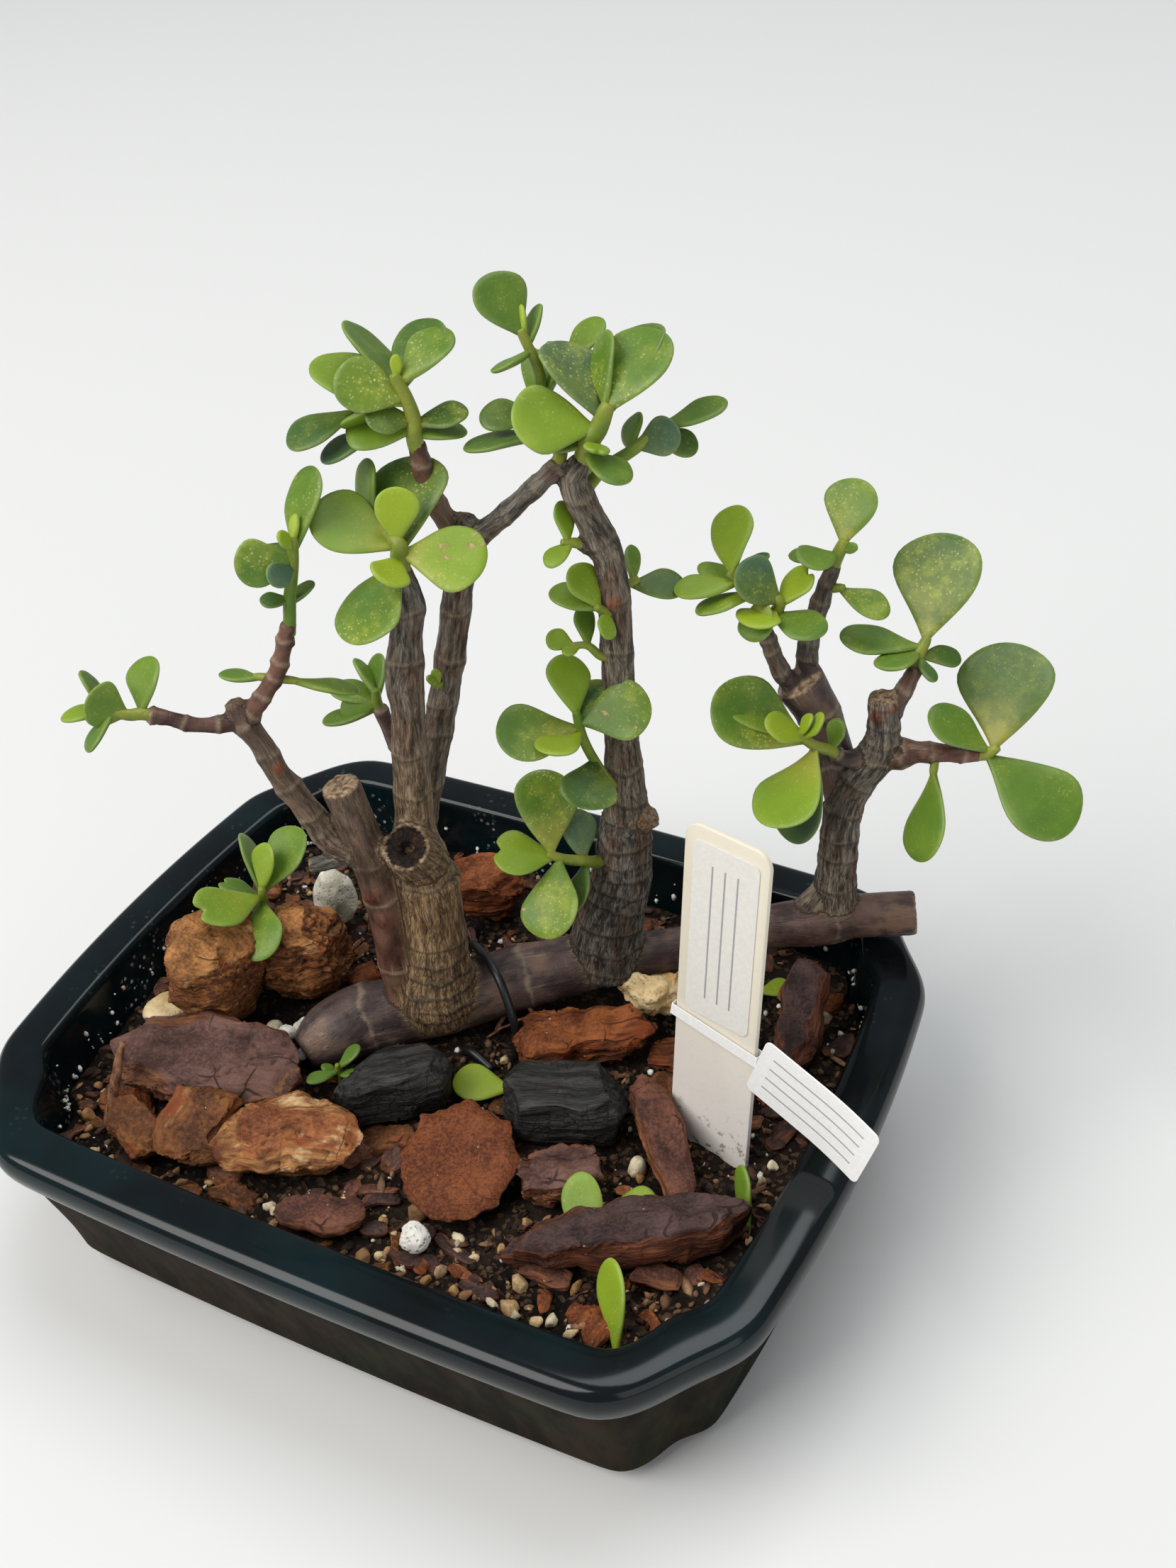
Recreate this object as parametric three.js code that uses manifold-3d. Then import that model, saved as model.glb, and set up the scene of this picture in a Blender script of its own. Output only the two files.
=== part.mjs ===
// A dwarf jade bonsai planted as a raft: one old branch lies on the soil and its side shoots
// stand up as five small trunks, with fleshy leaves in pairs at the tips. It grows in a glazed
// stoneware pot, in gritty soil dressed with bark, charcoal and pumice, with a plastic label.
// Millimetres, +Z up. The origin is the centre of the pot's flat underside, X runs along the
// pot's long side and Y towards its back.
import * as THREE from "three";
import { mergeVertices } from "three/addons/utils/BufferGeometryUtils.js";
import Module from "manifold-3d";

const wasm = await Module();
wasm.setup();

// Driving dimensions
const GAP = 0.3; // left between pieces that touch

const POT_HALF_LENGTH = 80; // of the lip, where a short side meets the corners
const POT_HALF_WIDTH = 65; // of the lip, where a long side meets the corners
const POT_HEIGHT = 41;
const SHORT_SIDE_BOW = 2.3; // how far the middle of a side stands out past its ends
const LONG_SIDE_BOW = 1.1;
const CORNER_LENGTH = 24; // a corner's reach along X and along Y
const CORNER_WIDTH = 27.7;
const CORNER_HOLLOW = 3.5; // depth of the soft hollow that splits a corner into two lobes
const CORNER_STEPS = 6; // facets round a corner
const POT_FLOOR = 8; // height of the inside floor
const WALL_INSET_AT_FLOOR = 17.5; // of the wall's inner face, in from the lip
const WALL_INSET_AT_SOIL = 12.1;
const DRAIN_RADIUS = 6;
const DRAIN_OFFSET = 35; // from the middle, along X
const CHANNEL_HEIGHT = 3; // of the grooves that let water out from under the pot

const SOIL_LEVEL = 29.3;
const SOIL_BUMP = 0.25;
const BED = SOIL_LEVEL + SOIL_BUMP + GAP; // where the lowest points of the chips lie

const LEAF_THICKNESS = 1.9; // of a large leaf
const STEM_SIDES = 4;
const BUD_LENGTH = 1.1; // of the green stem past its last pair of leaves
const BUD_TAPER = 0.75;
const LEAF_SPACING = 0.9; // along the stem, between leaves that share a stem point
const LEAF_ROOT = 0.7; // how far a leaf starts behind the middle of its stem

const LABEL_WIDTH = 17.2;
const LABEL_THICKNESS = 1;
const LABEL_RISE = 68; // above the soil
const LABEL_DEPTH = 17; // below it
const LABEL_SHOULDER = 5; // depth at which it starts to narrow to its point
const LABEL_CORNER = 3.2;
const LABEL_FOOT = [52.6, -2.6, 30]; // where its middle meets the soil
const LABEL_TURN = -13.4; // degrees about Z, from facing the front
const LABEL_LEAN = 7; // degrees back

const COLOURS = {
  glaze: 0x0f2225,
  soil: 0x4a3a2c,
  bark: 0x6a5546,
  leaf: 0x5f9a2e,
  youngLeaf: 0x86b93a,
  wire: 0x17181a,
  cream: 0xf1ebdc,
  paper: 0xf7f6f2,
  barkChip: 0x7a4630,
  purpleChip: 0x4d3434,
  orangeChip: 0x9a5a32,
  charcoal: 0x1b1b1c,
  pumice: 0xe0c68a,
  stone: 0xcfc3ab,
  perlite: 0xe9e6de,
};

// Vectors, directions and solids
const point = ([x, y, z]) => new THREE.Vector3(x, y, z);
const radians = THREE.MathUtils.degToRad;

function direction(azimuth, rise) {
  const flat = Math.cos(radians(rise));
  return new THREE.Vector3(
    flat * Math.cos(radians(azimuth)),
    flat * Math.sin(radians(azimuth)),
    Math.sin(radians(rise)),
  );
}

// A repeatable stream of numbers from 0 to 1.
function draws(seed) {
  let state = seed * 7919 + 17;
  return () => {
    state = (state * 16807) % 2147483647;
    return state / 2147483647;
  };
}

function solidFrom(vertices, triangles) {
  return new wasm.Manifold(
    new wasm.Mesh({
      numProp: 3,
      vertProperties: new Float32Array(vertices.flatMap((v) => v.toArray())),
      triVerts: new Uint32Array(triangles),
    }),
  );
}

function solidOfGeometry(geometry) {
  geometry.deleteAttribute("normal");
  geometry.deleteAttribute("uv");
  const merged = mergeVertices(geometry, 1e-4);
  return new wasm.Manifold(
    new wasm.Mesh({
      numProp: 3,
      vertProperties: merged.attributes.position.array,
      triVerts: new Uint32Array(merged.index.array),
    }),
  );
}

const middle = (ring) =>
  ring.reduce((sum, p) => sum.add(p), new THREE.Vector3()).divideScalar(ring.length);

// A closed skin over rings with the same number of points each, in order along the piece and
// each anticlockwise as seen from the far end. It closes on a point at either end.
function skin(rings, start = middle(rings[0]), finish = middle(rings.at(-1))) {
  const count = rings[0].length;
  const vertices = rings.flat();
  const first = vertices.push(start) - 1;
  const last = vertices.push(finish) - 1;
  const triangles = [];
  for (let i = 0; i < count; i++) {
    const j = (i + 1) % count;
    triangles.push(first, j, i);
    const end = (rings.length - 1) * count;
    triangles.push(last, end + i, end + j);
    for (let k = 0; k < rings.length - 1; k++) {
      const low = k * count;
      const high = low + count;
      triangles.push(low + i, low + j, high + j, low + i, high + j, high + i);
    }
  }
  return solidFrom(vertices, triangles);
}

const joined = (solids) => solids.reduce((sum, s) => sum.add(s));

// The largest body of a solid, without the scraps that a cut may leave.
function mainBody(solid) {
  const bodies = solid.decompose();
  return bodies.reduce((best, b) => (b.volume() > best.volume() ? b : best));
}

function boxesMeet(a, b) {
  const p = a.boundingBox();
  const q = b.boundingBox();
  return [0, 1, 2].every((i) => p.min[i] < q.max[i] && q.min[i] < p.max[i]);
}

function cutBy(solid, cutters) {
  const near = cutters.filter((c) => boxesMeet(solid, c));
  return near.length ? mainBody(near.reduce((rest, c) => rest.subtract(c), solid)) : solid;
}

const group = new THREE.Group();

function addPiece(name, solid, colour, roughness) {
  const mesh = solid.getMesh();
  const stride = mesh.numProp;
  const positions = new Float32Array(mesh.numVert * 3);
  for (let i = 0; i < mesh.numVert; i++) {
    positions.set(mesh.vertProperties.subarray(i * stride, i * stride + 3), i * 3);
  }
  const geometry = new THREE.BufferGeometry();
  geometry.setAttribute("position", new THREE.BufferAttribute(positions, 3));
  geometry.setIndex(new THREE.BufferAttribute(new Uint32Array(mesh.triVerts), 1));
  geometry.computeVertexNormals();
  const material = new THREE.MeshStandardMaterial({ color: colour, roughness, metalness: 0 });
  const piece = new THREE.Mesh(geometry, material);
  piece.name = name;
  group.add(piece);
}

// The pot: slip-cast stoneware with bowed sides and lobed corners, a flared lip and a low foot.
// Its outline is drawn once, and each height of the wall has it at its own inset.
const CORNER_X = POT_HALF_LENGTH - CORNER_LENGTH;
const CORNER_Y = POT_HALF_WIDTH - CORNER_WIDTH;

function cornerPoint(angle, inset) {
  const a = CORNER_LENGTH - inset;
  const b = CORNER_WIDTH - inset;
  const ellipse = (a * b) / Math.hypot(b * Math.cos(angle), a * Math.sin(angle));
  const reach = ellipse - CORNER_HOLLOW * Math.sin(2 * angle) ** 2;
  return [CORNER_X + reach * Math.cos(angle), CORNER_Y + reach * Math.sin(angle)];
}

function potOutline(inset) {
  const quarter = [];
  for (const t of [0, 0.5]) {
    const y = CORNER_Y * t;
    quarter.push([POT_HALF_LENGTH - inset + SHORT_SIDE_BOW * (1 - t * t), y]);
  }
  for (let i = 0; i <= CORNER_STEPS; i++) {
    quarter.push(cornerPoint((Math.PI / 2) * (i / CORNER_STEPS), inset));
  }
  for (const t of [0.5, 0]) {
    quarter.push([CORNER_X * t, POT_HALF_WIDTH - inset + LONG_SIDE_BOW * (1 - t * t)]);
  }
  const backLeft = quarter.slice(0, -1).reverse().map(([x, y]) => [-x, y]);
  const back = [...quarter, ...backLeft];
  const front = back.slice(1, -1).reverse().map(([x, y]) => [x, -y]);
  return [...back, ...front];
}

const ring = (inset, z) => potOutline(inset).map(([x, y]) => new THREE.Vector3(x, y, z));

// Inset and height up the outside, over the rim and down the inside.
const POT_PROFILE = [
  [16.5, 0],
  [16, CHANNEL_HEIGHT],
  [12, CHANNEL_HEIGHT + 0.2],
  [10.1, 5.5],
  [7.4, 17],
  [5.2, 25],
  [4.5, 28.8],
  [3.4, 31],
  [1.1, 33.8],
  [0.1, 36],
  [0, 38],
  [0.9, 40.1],
  [3, POT_HEIGHT],
  [9.2, POT_HEIGHT],
  [10.2, 39.6],
  [11.6, 31],
  [14.5, 16],
  [WALL_INSET_AT_FLOOR, POT_FLOOR],
];

function pot() {
  const body = skin(POT_PROFILE.map(([inset, z]) => ring(inset, z)));
  const cuts = [-DRAIN_OFFSET, DRAIN_OFFSET].flatMap((x) => {
    const hole = new THREE.CylinderGeometry(DRAIN_RADIUS, DRAIN_RADIUS, 3 * POT_FLOOR, 16);
    hole.rotateX(Math.PI / 2).translate(x, 0, 0);
    const channel = new THREE.BoxGeometry(2 * DRAIN_RADIUS, 2 * POT_HALF_WIDTH, 2 * CHANNEL_HEIGHT);
    channel.translate(x, 0, 0);
    return [solidOfGeometry(hole), solidOfGeometry(channel)];
  });
  return cuts.reduce((rest, cut) => rest.subtract(cut), body);
}

// The wood: every limb is a route of [x, y, z, radius]. A limb's first point lies inside what
// it grows from.
const LIMBS = [
  {
    name: "raft",
    sides: 10,
    route: [
      [-28, -14.5, 32, 4],
      [-25, -9.5, 33.3, 6.6],
      [-21, -4, 34, 7.2],
      [-14, 1, 35, 6.8],
      [-6, 6.5, 36, 6.4],
      [2.8, 14.6, 37.5, 6.5],
      [10, 19.7, 38.5, 6.2],
      [18.4, 25.9, 39.5, 5.6],
      [24.2, 28.6, 40, 4.5],
      [34, 34, 41.4, 4.2],
      [46.5, 42, 43.8, 4.4],
      [54.6, 45, 45.5, 4.9],
      [58.4, 47.1, 46.2, 5.1],
      [62, 49, 46.4, 4.4],
      [72.8, 53.1, 47.5, 4.4],
    ],
  },
  {
    name: "first trunk",
    sides: 9,
    route: [
      [-8, 4.4, 36, 7],
      [-7.7, 4.6, 43.3, 6.7],
      [-7, 5, 52.3, 6.1],
      [-6.5, 5.3, 60.8, 5.9],
      [-6.7, 5.7, 68.9, 6.1],
      [-7.7, 5.7, 73.7, 5.2],
      [-8.2, 6.1, 77.5, 4.1],
      [-8, 6.7, 83.8, 3.6],
      [-7, 7.3, 98.9, 3.2],
      [-6.4, 7.6, 106.4, 3.1],
      [-6.3, 7.7, 111.7, 3.4],
      [-5.4, 8.8, 120, 2.9],
      [-4.5, 9.6, 127, 2.8],
      [-4.6, 8.7, 134, 2],
    ],
  },
  {
    name: "hollow stub",
    sides: 9,
    hollow: 4,
    route: [
      [-6.6, 5.7, 71, 5],
      [-6.7, 3, 76.3, 4.6],
      [-6.5, 0.4, 80, 4],
    ],
  },
  {
    name: "left stem",
    sides: 8,
    route: [
      [-12, 1, 37, 4.2],
      [-12.8, 0.5, 50.9, 3.9],
      [-13.3, 0.2, 64, 3.6],
      [-14.2, -0.3, 74.7, 3.6],
      [-15.5, -1, 84.5, 3.5],
      [-16.8, -1.8, 92.8, 3.6],
    ],
  },
  {
    name: "left branch",
    sides: 7,
    route: [
      [-14.6, -0.5, 76, 3],
      [-19.6, -3.4, 80.4, 2.6],
      [-21.9, -4.6, 86, 2.4],
      [-23.7, -6.3, 92.5, 2.3],
      [-25.2, -7.7, 97.7, 2.1],
      [-26.6, -8.5, 103.7, 2],
      [-28.5, -9.6, 109.1, 2.1],
      [-29.3, -10.1, 113.1, 1.7],
    ],
  },
  {
    name: "far-left twig",
    sides: 6,
    route: [
      [-28.2, -9.5, 108.7, 1.6],
      [-33.6, -14.8, 110.2, 1.3],
      [-36.8, -17.8, 112.7, 1.3],
      [-39.3, -20.2, 114.5, 1.2],
    ],
  },
  {
    name: "left up twig",
    sides: 6,
    route: [
      [-28.3, -9.5, 108.5, 1.7],
      [-26.7, -8.6, 110.9, 1.6],
      [-24.3, -7.2, 114.5, 1.5],
      [-22.5, -5, 118, 1.4],
      [-20.2, -2.7, 126.4, 1.3],
    ],
  },
  {
    name: "grey stub",
    sides: 6,
    route: [
      [-14.5, -0.5, 79, 1.7],
      [-18.3, -3.8, 76.9, 1.7],
      [-22.8, -7.5, 76.4, 1.5],
    ],
  },
  {
    name: "second trunk",
    sides: 8,
    route: [
      [-12.8, 7.4, 35, 4],
      [-14.6, 11, 50, 3.6],
      [-15, 13, 61.1, 3.4],
      [-13.5, 15.1, 72.4, 3.2],
      [-9.3, 17.5, 89.4, 2.9],
      [-6.7, 18.9, 100.1, 2.7],
      [-4, 20.5, 113.1, 2.7],
      [-2.3, 21.4, 122.3, 2.6],
      [-0.9, 22.2, 131, 2.8],
      [0.2, 22.8, 136.9, 2.2],
    ],
  },
  {
    name: "second trunk, right branch",
    sides: 6,
    route: [
      [-0.5, 22.4, 131.3, 1.9],
      [7.3, 23.4, 138, 1.8],
      [17.7, 24.8, 148.4, 1.6],
    ],
  },
  {
    name: "second trunk, left branch",
    sides: 6,
    route: [
      [-0.6, 22.3, 131.6, 2],
      [-4.2, 20.4, 141.1, 1.8],
      [-5.4, 19.7, 151, 1.5],
    ],
  },
  {
    name: "twig behind",
    sides: 6,
    route: [
      [-11.5, 16.1, 81, 1.7],
      [-14.1, 13.4, 90.9, 1.6],
      [-16.8, 13.1, 100, 1.3],
    ],
  },
  {
    name: "third trunk",
    sides: 9,
    route: [
      [18.3, 25.9, 38, 7.3],
      [19.2, 26.4, 47, 6.8],
      [20.4, 27.1, 53, 6.2],
      [22.2, 28.2, 60.5, 5.6],
      [22.9, 28.5, 67.4, 5.1],
      [23.5, 28.9, 73.4, 4.9],
      [23.6, 28.9, 80.1, 4],
      [23.7, 29, 90.6, 3.3],
      [23.7, 29, 100.9, 3.1],
      [23.8, 29.1, 111.2, 2.9],
      [23.9, 29.1, 120.5, 2.9],
      [23.4, 28.8, 131, 2.7],
      [20.6, 27.2, 140.2, 2.6],
      [19.4, 26.5, 145.5, 2.4],
      [21, 27.4, 149, 1.9],
    ],
  },
  {
    name: "third trunk, stub",
    sides: 7,
    route: [
      [23.4, 28.9, 71, 3],
      [26.9, 28.5, 75, 2.4],
      [29.3, 28.2, 77.1, 2.1],
    ],
  },
  {
    name: "third trunk, left twig",
    sides: 6,
    route: [
      [23, 28.7, 130.5, 1.5],
      [21, 26.3, 133.3, 1.2],
      [20.1, 24.9, 134.6, 1],
    ],
  },
  {
    name: "fourth trunk",
    sides: 9,
    route: [
      [58.3, 47.4, 44.5, 5.3],
      [58, 48, 51, 4.3],
      [58.3, 48.3, 62, 3.7],
      [59, 48.6, 72.6, 3.6],
      [61, 49.8, 79, 3.5],
      [63.3, 51.1, 83.5, 3.6],
      [64.9, 51.9, 89, 3],
      [64.6, 51.8, 97.9, 2.6],
    ],
  },
  {
    name: "fourth trunk, top twig",
    sides: 6,
    route: [
      [64.8, 52, 90.5, 1.9],
      [67.9, 53.7, 98.8, 1.6],
      [69.4, 54.6, 103, 1.3],
    ],
  },
  {
    name: "fourth trunk, right twig",
    sides: 6,
    route: [
      [63.5, 51.3, 84.5, 2.6],
      [68.6, 53, 85.3, 2.7],
      [71.7, 53.6, 85.9, 1.9],
      [82, 56, 86.6, 1.4],
    ],
  },
  {
    name: "fourth trunk, left twig",
    sides: 6,
    route: [
      [63.2, 51.1, 84, 2.2],
      [59.4, 46.6, 85.9, 1.5],
      [58.1, 44.8, 88.8, 1.2],
    ],
  },
  {
    name: "fat cut stub",
    sides: 9,
    route: [
      [58.9, 49, 71.5, 3],
      [56.9, 50.9, 78.9, 3.7],
      [54.9, 52.1, 84.1, 3.8],
      [52.3, 52, 91, 4.1],
      [48.9, 51, 97.6, 4.8],
    ],
  },
  {
    name: "cut stub, left twig",
    sides: 6,
    route: [
      [50, 51.4, 94, 2.2],
      [47.6, 49.1, 98.5, 1.9],
      [46.3, 46.9, 103.5, 1.6],
      [44.8, 45.2, 111, 1.4],
    ],
  },
  {
    name: "cut stub, right twig",
    sides: 6,
    route: [
      [50, 52, 94, 2.3],
      [50, 52.7, 104.5, 1.9],
      [51.4, 53.5, 111.8, 1.7],
      [53.8, 54.8, 121, 1.3],
    ],
  },
];

// Rings square to the route. Grown, the limb is that much thicker and longer at both ends.
function limb({ sides, route, hollow = 0 }, grown = 0) {
  const centres = route.map(point);
  const tangents = centres.map((_, i) => {
    const before = centres[Math.max(i - 1, 0)];
    const after = centres[Math.min(i + 1, centres.length - 1)];
    return after.clone().sub(before).normalize();
  });
  centres[0].addScaledVector(tangents[0], -grown);
  centres.at(-1).addScaledVector(tangents.at(-1), grown);
  let across = new THREE.Vector3(1, 0.2, 0.1);
  const frames = tangents.map((tangent) => {
    across = across.clone().projectOnPlane(tangent).normalize();
    return [across, tangent.clone().cross(across)];
  });
  const ringAt = (i, radius, shift = 0) =>
    Array.from({ length: sides }, (_, j) => {
      const angle = (2 * Math.PI * j) / sides;
      return centres[i]
        .clone()
        .addScaledVector(tangents[i], shift)
        .addScaledVector(frames[i][0], radius * Math.cos(angle))
        .addScaledVector(frames[i][1], radius * Math.sin(angle));
    });
  const rings = route.map(([, , , radius], i) => ringAt(i, radius + grown));
  if (hollow && !grown) {
    const last = route.length - 1;
    const radius = route[last][3];
    rings.push(ringAt(last, 0.62 * radius), ringAt(last, 0.5 * radius, -hollow));
  }
  return skin(rings);
}

// A leaf: [stem point, azimuth, rise, length, width, azimuth and rise that its face turns to],
// angles in degrees. It is pointed inside the stem, broad past the middle and round at the tip.
const LEAF_OUTLINE = [
  // share of the length, half width as a share of the width, share of the thickness
  [0.17, 0.1, 0.8],
  [0.42, 0.41, 1],
  [0.7, 0.5, 0.95],
  [0.91, 0.35, 0.65],
];
const SMALL_LEAF_OUTLINE = [
  [0.2, 0.13, 0.8],
  [0.55, 0.49, 1],
  [0.86, 0.4, 0.75],
];
const SMALL_LEAF = 9.2;
const LEAF_CUP = 0.07; // how far the edges stand up towards the face, as a share of the width

function leaf(foot, tip, [, , , , width, faceAzimuth, faceRise], grown = 0) {
  const along = tip.clone().sub(foot);
  const length = along.length();
  along.normalize();
  const face = direction(faceAzimuth, faceRise).projectOnPlane(along).normalize();
  const side = along.clone().cross(face);
  const outline = length < SMALL_LEAF ? SMALL_LEAF_OUTLINE : LEAF_OUTLINE;
  const thickness = Math.min(LEAF_THICKNESS, 0.9 + 0.09 * length);
  const at = (share, s, f) =>
    foot
      .clone()
      .addScaledVector(along, share * (length + grown))
      .addScaledVector(side, s)
      .addScaledVector(face, f);
  const rings = outline.map(([share, halfWidth, thick]) => {
    const reach = halfWidth * width + grown;
    const depth = (thick * thickness) / 2 + grown;
    const cup = LEAF_CUP * width * (2 * halfWidth) ** 2;
    return [at(share, reach, cup), at(share, 0, -depth), at(share, -reach, cup), at(share, 0, depth)];
  });
  return skin(rings, at(-LEAF_ROOT / length, 0, 0), at(1, 0, 0));
}

// The leafy shoots. A root is where the green stem enters the wood or the soil, and the stem
// goes on from it.
const SHOOTS = [
  {
    name: "leaves_front",
    root: [-4.5, 9, 131.5, 1.7],
    stem: [
      [-4.2, 8.9, 136.6, 1.6],
      [-4.2, 8.8, 138.6, 1.3],
      [-11, 12, 139.5, 1],
    ],
    leaves: [
      [1, 110, 65, 9, 7.5, -55, 25],
      [1, -75, -15, 9, 7, -15, 60],
      [1, -170, 20, 15, 12, -40, 65],
      [1, 15, -10, 15, 12, -55, 55],
      [0, 110, 35, 17.5, 16, -100, 50],
      [0, -100, -35, 17, 13, -105, 55],
      [2, 125, 40, 11, 7, -125, 20],
    ],
  },
  {
    name: "leaves_left_middle",
    root: [-20.4, -2.9, 124.5, 1.2],
    stem: [
      [-20, -2.5, 127, 1.1],
      [-19.5, -2, 131, 1.1],
      [-18, -1.5, 137, 1],
      [-17.5, -1, 141, 0.9],
    ],
    leaves: [
      [3, 100, 40, 13.5, 8.5, -115, 45],
      [3, -135, -10, 10, 8, -50, 30],
      [3, 105, 50, 5, 2, -100, 35],
      [3, -95, 50, 4.5, 3, 10, 10],
      [2, -95, 5, 6, 4.5, -5, 35],
      [2, 150, 5, 8, 5.5, 30, 80],
      [1, -130, 10, 5, 3.5, -5, 70],
      [1, 80, 5, 5.5, 3.5, -165, 75],
    ],
  },
  {
    name: "twig_leaf_left",
    root: [-23.2, -5.6, 116.5, 0.8],
    stem: [[-26, -5.9, 116.3, 0.7]],
    leaves: [[0, -175, -5, 8, 4.5, 145, 80]],
  },
  {
    name: "twig_leaf_right",
    root: [-23.2, -5.6, 116.5, 0.8],
    stem: [[-20.8, -3.9, 115.6, 0.7]],
    leaves: [[0, 35, -20, 11.5, 5.5, 65, 70]],
  },
  {
    name: "leaves_far_left",
    root: [-37.5, -18.6, 113.3, 1],
    stem: [
      [-39.8, -20.7, 114.9, 1.1],
      [-41.5, -22.3, 115.3, 1],
      [-44.5, -24.5, 117, 0.8],
    ],
    leaves: [
      [0, 110, 40, 10, 7.5, -105, 45],
      [1, -135, 40, 7.5, 8, -30, 20],
      [2, 155, 45, 7.5, 4.5, 30, 30],
      [2, -155, -10, 7.5, 5, -160, 80],
      [2, -90, -40, 7.5, 5, -130, 40],
    ],
  },
  {
    name: "leaves_top_left",
    root: [-5.3, 19.8, 149, 1.4],
    stem: [
      [-5.5, 19.5, 152, 1.4],
      [-5.5, 20, 155, 1.3],
      [-6, 19.5, 159, 1.1],
      [-7, 19, 162, 1],
    ],
    side: {
      from: 1,
      stem: [
        [-11.5, 19.5, 153, 0.9],
        [-15.5, 18.5, 155.5, 0.8],
      ],
    },
    leaves: [
      [3, -155, 5, 10, 9, -60, 35],
      [3, 65, 25, 12, 8, -85, 60],
      [3, 90, 25, 13, 10, -110, 65],
      [3, 180, 5, 15.5, 12, -30, 80],
      [3, 110, 65, 4, 2, -55, 25],
      [3, 150, 20, 15, 11.5, 35, 50],
      [1, -135, 15, 8, 6, -25, 50],
      [1, 40, 0, 9, 6.5, -55, 75],
      [1, 50, -25, 9.5, 6.5, 30, 65],
      [1, -165, -5, 11.5, 10.5, -85, 55],
      [5, -130, -15, 12.5, 8, -105, 70],
      [2, -160, -25, 12.5, 6.5, -40, -50],
      [4, -135, -20, 11.5, 6.5, -125, 70],
    ],
  },
  {
    name: "leaves_crown",
    root: [20.5, 27.2, 147, 1.7],
    stem: [
      [22, 28, 152, 1.8],
      [23.3, 28.8, 154, 1.6],
      [24.5, 29.5, 157, 1.3],
    ],
    leaves: [
      [2, -145, 5, 15, 11.5, -45, 50],
      [2, 70, 35, 15.5, 12.5, -95, 55],
      [2, 90, 25, 18, 15, -130, 55],
      [2, 155, 30, 15, 12, 0, 55],
      [2, 115, 40, 13.5, 7, -130, 30],
      [0, -25, -25, 10, 7.5, 0, 65],
      [0, -155, 4, 7.5, 5, -65, 75],
      [0, -45, 5, 6, 4.5, 60, 70],
    ],
  },
  {
    name: "leaves_high",
    root: [16.3, 24.6, 147, 1.3],
    stem: [
      [17.2, 26.8, 149.3, 1.2],
      [14, 29, 151, 1.1],
      [12, 29.5, 155, 1],
      [12, 31.5, 160, 0.9],
      [9.5, 31.5, 166.5, 0.8],
    ],
    side: {
      from: 2,
      stem: [
        [12, 34, 157, 0.9],
        [11.5, 40, 158.5, 0.8],
      ],
    },
    leaves: [
      [4, 165, 50, 11, 10, -30, 40],
      [4, 95, 20, 7, 4.5, -150, 45],
      [4, -100, -20, 8.5, 4.5, -150, 60],
      [4, 120, 50, 5, 2.5, -120, 20],
      [2, 105, 40, 12, 8, -110, 45],
      [2, -155, -5, 9.5, 6, -70, 60],
      [1, -150, -4, 14, 7, 120, 85],
      [6, 65, 30, 10, 6, -100, 60],
    ],
  },
  {
    name: "leaves_crown_right",
    root: [20.3, 27.4, 142.5, 1.2],
    stem: [
      [22, 31.5, 145, 1.1],
      [26.5, 35, 148, 1],
      [29.5, 38, 151, 0.9],
    ],
    leaves: [
      [2, 45, 10, 12, 6.5, -140, 80],
      [2, 20, -35, 7.5, 5, -30, 40],
      [1, 20, 25, 8, 6.5, -80, 20],
      [1, 115, 20, 7.5, 5.5, -135, 40],
    ],
  },
  {
    name: "leaves_trunk3_twig",
    root: [20.8, 25.9, 133.6, 0.8],
    stem: [
      [20, 24.6, 134.8, 0.9],
      [19, 23.5, 135.3, 0.7],
    ],
    leaves: [
      [1, 125, 50, 7, 4.5, -15, 30],
      [1, -110, -25, 5.5, 4, -90, 65],
    ],
  },
  {
    name: "leaves_trunk3_lime",
    root: [23.9, 29, 120.8, 1],
    stem: [
      [23.9, 26.3, 121.2, 0.9],
      [23.5, 24.5, 123, 0.8],
    ],
    leaves: [
      [1, 165, 50, 8.5, 6.5, -25, 40],
      [1, -170, 15, 9, 6, -30, 75],
      [1, -50, -40, 5.5, 4, -10, 40],
    ],
  },
  {
    name: "leaves_trunk3_small",
    root: [23.6, 28.9, 110.8, 0.9],
    stem: [
      [22.3, 26.2, 112, 0.8],
      [20.5, 25, 114.5, 0.7],
      [18.5, 23.5, 115, 0.6],
    ],
    leaves: [
      [1, 125, 50, 7, 4.5, -15, 30],
      [2, -155, 25, 5, 4, -40, 40],
      [2, -100, 0, 3, 2.5, -5, 75],
    ],
  },
  {
    name: "leaves_trunk3_right",
    root: [23.8, 29.1, 122.6, 0.9],
    stem: [
      [24.2, 32.3, 123, 0.8],
      [25.5, 33.5, 123.5, 0.8],
    ],
    leaves: [
      [1, 40, -15, 9.5, 6.5, -20, 60],
      [1, 115, 20, 8, 3.5, 5, 45],
    ],
  },
  {
    name: "leaves_trunk3_rosette",
    root: [23.6, 28.9, 82.5, 1],
    stem: [
      [23, 25, 85.5, 0.9],
      [21.5, 22, 92.5, 0.9],
      [20.5, 20.5, 98, 0.9],
      [20, 20, 103, 0.8],
    ],
    leaves: [
      [3, 135, 50, 11, 8.5, -25, 40],
      [3, 30, 5, 13, 11, -70, 55],
      [3, 85, 10, 9.5, 7, -130, 80],
      [3, -140, -5, 14.5, 11.5, -60, 65],
      [3, -100, -10, 10, 8.5, -120, 80],
      [1, -75, -25, 10, 10.5, -50, 60],
    ],
  },
  {
    name: "leaves_trunk3_base",
    root: [21.6, 27.5, 65, 1.3],
    stem: [
      [19.5, 23, 67, 1.2],
      [19, 20, 69.5, 1.1],
      [16.5, 17.5, 71, 1],
      [14.5, 16, 72.5, 0.9],
    ],
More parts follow.
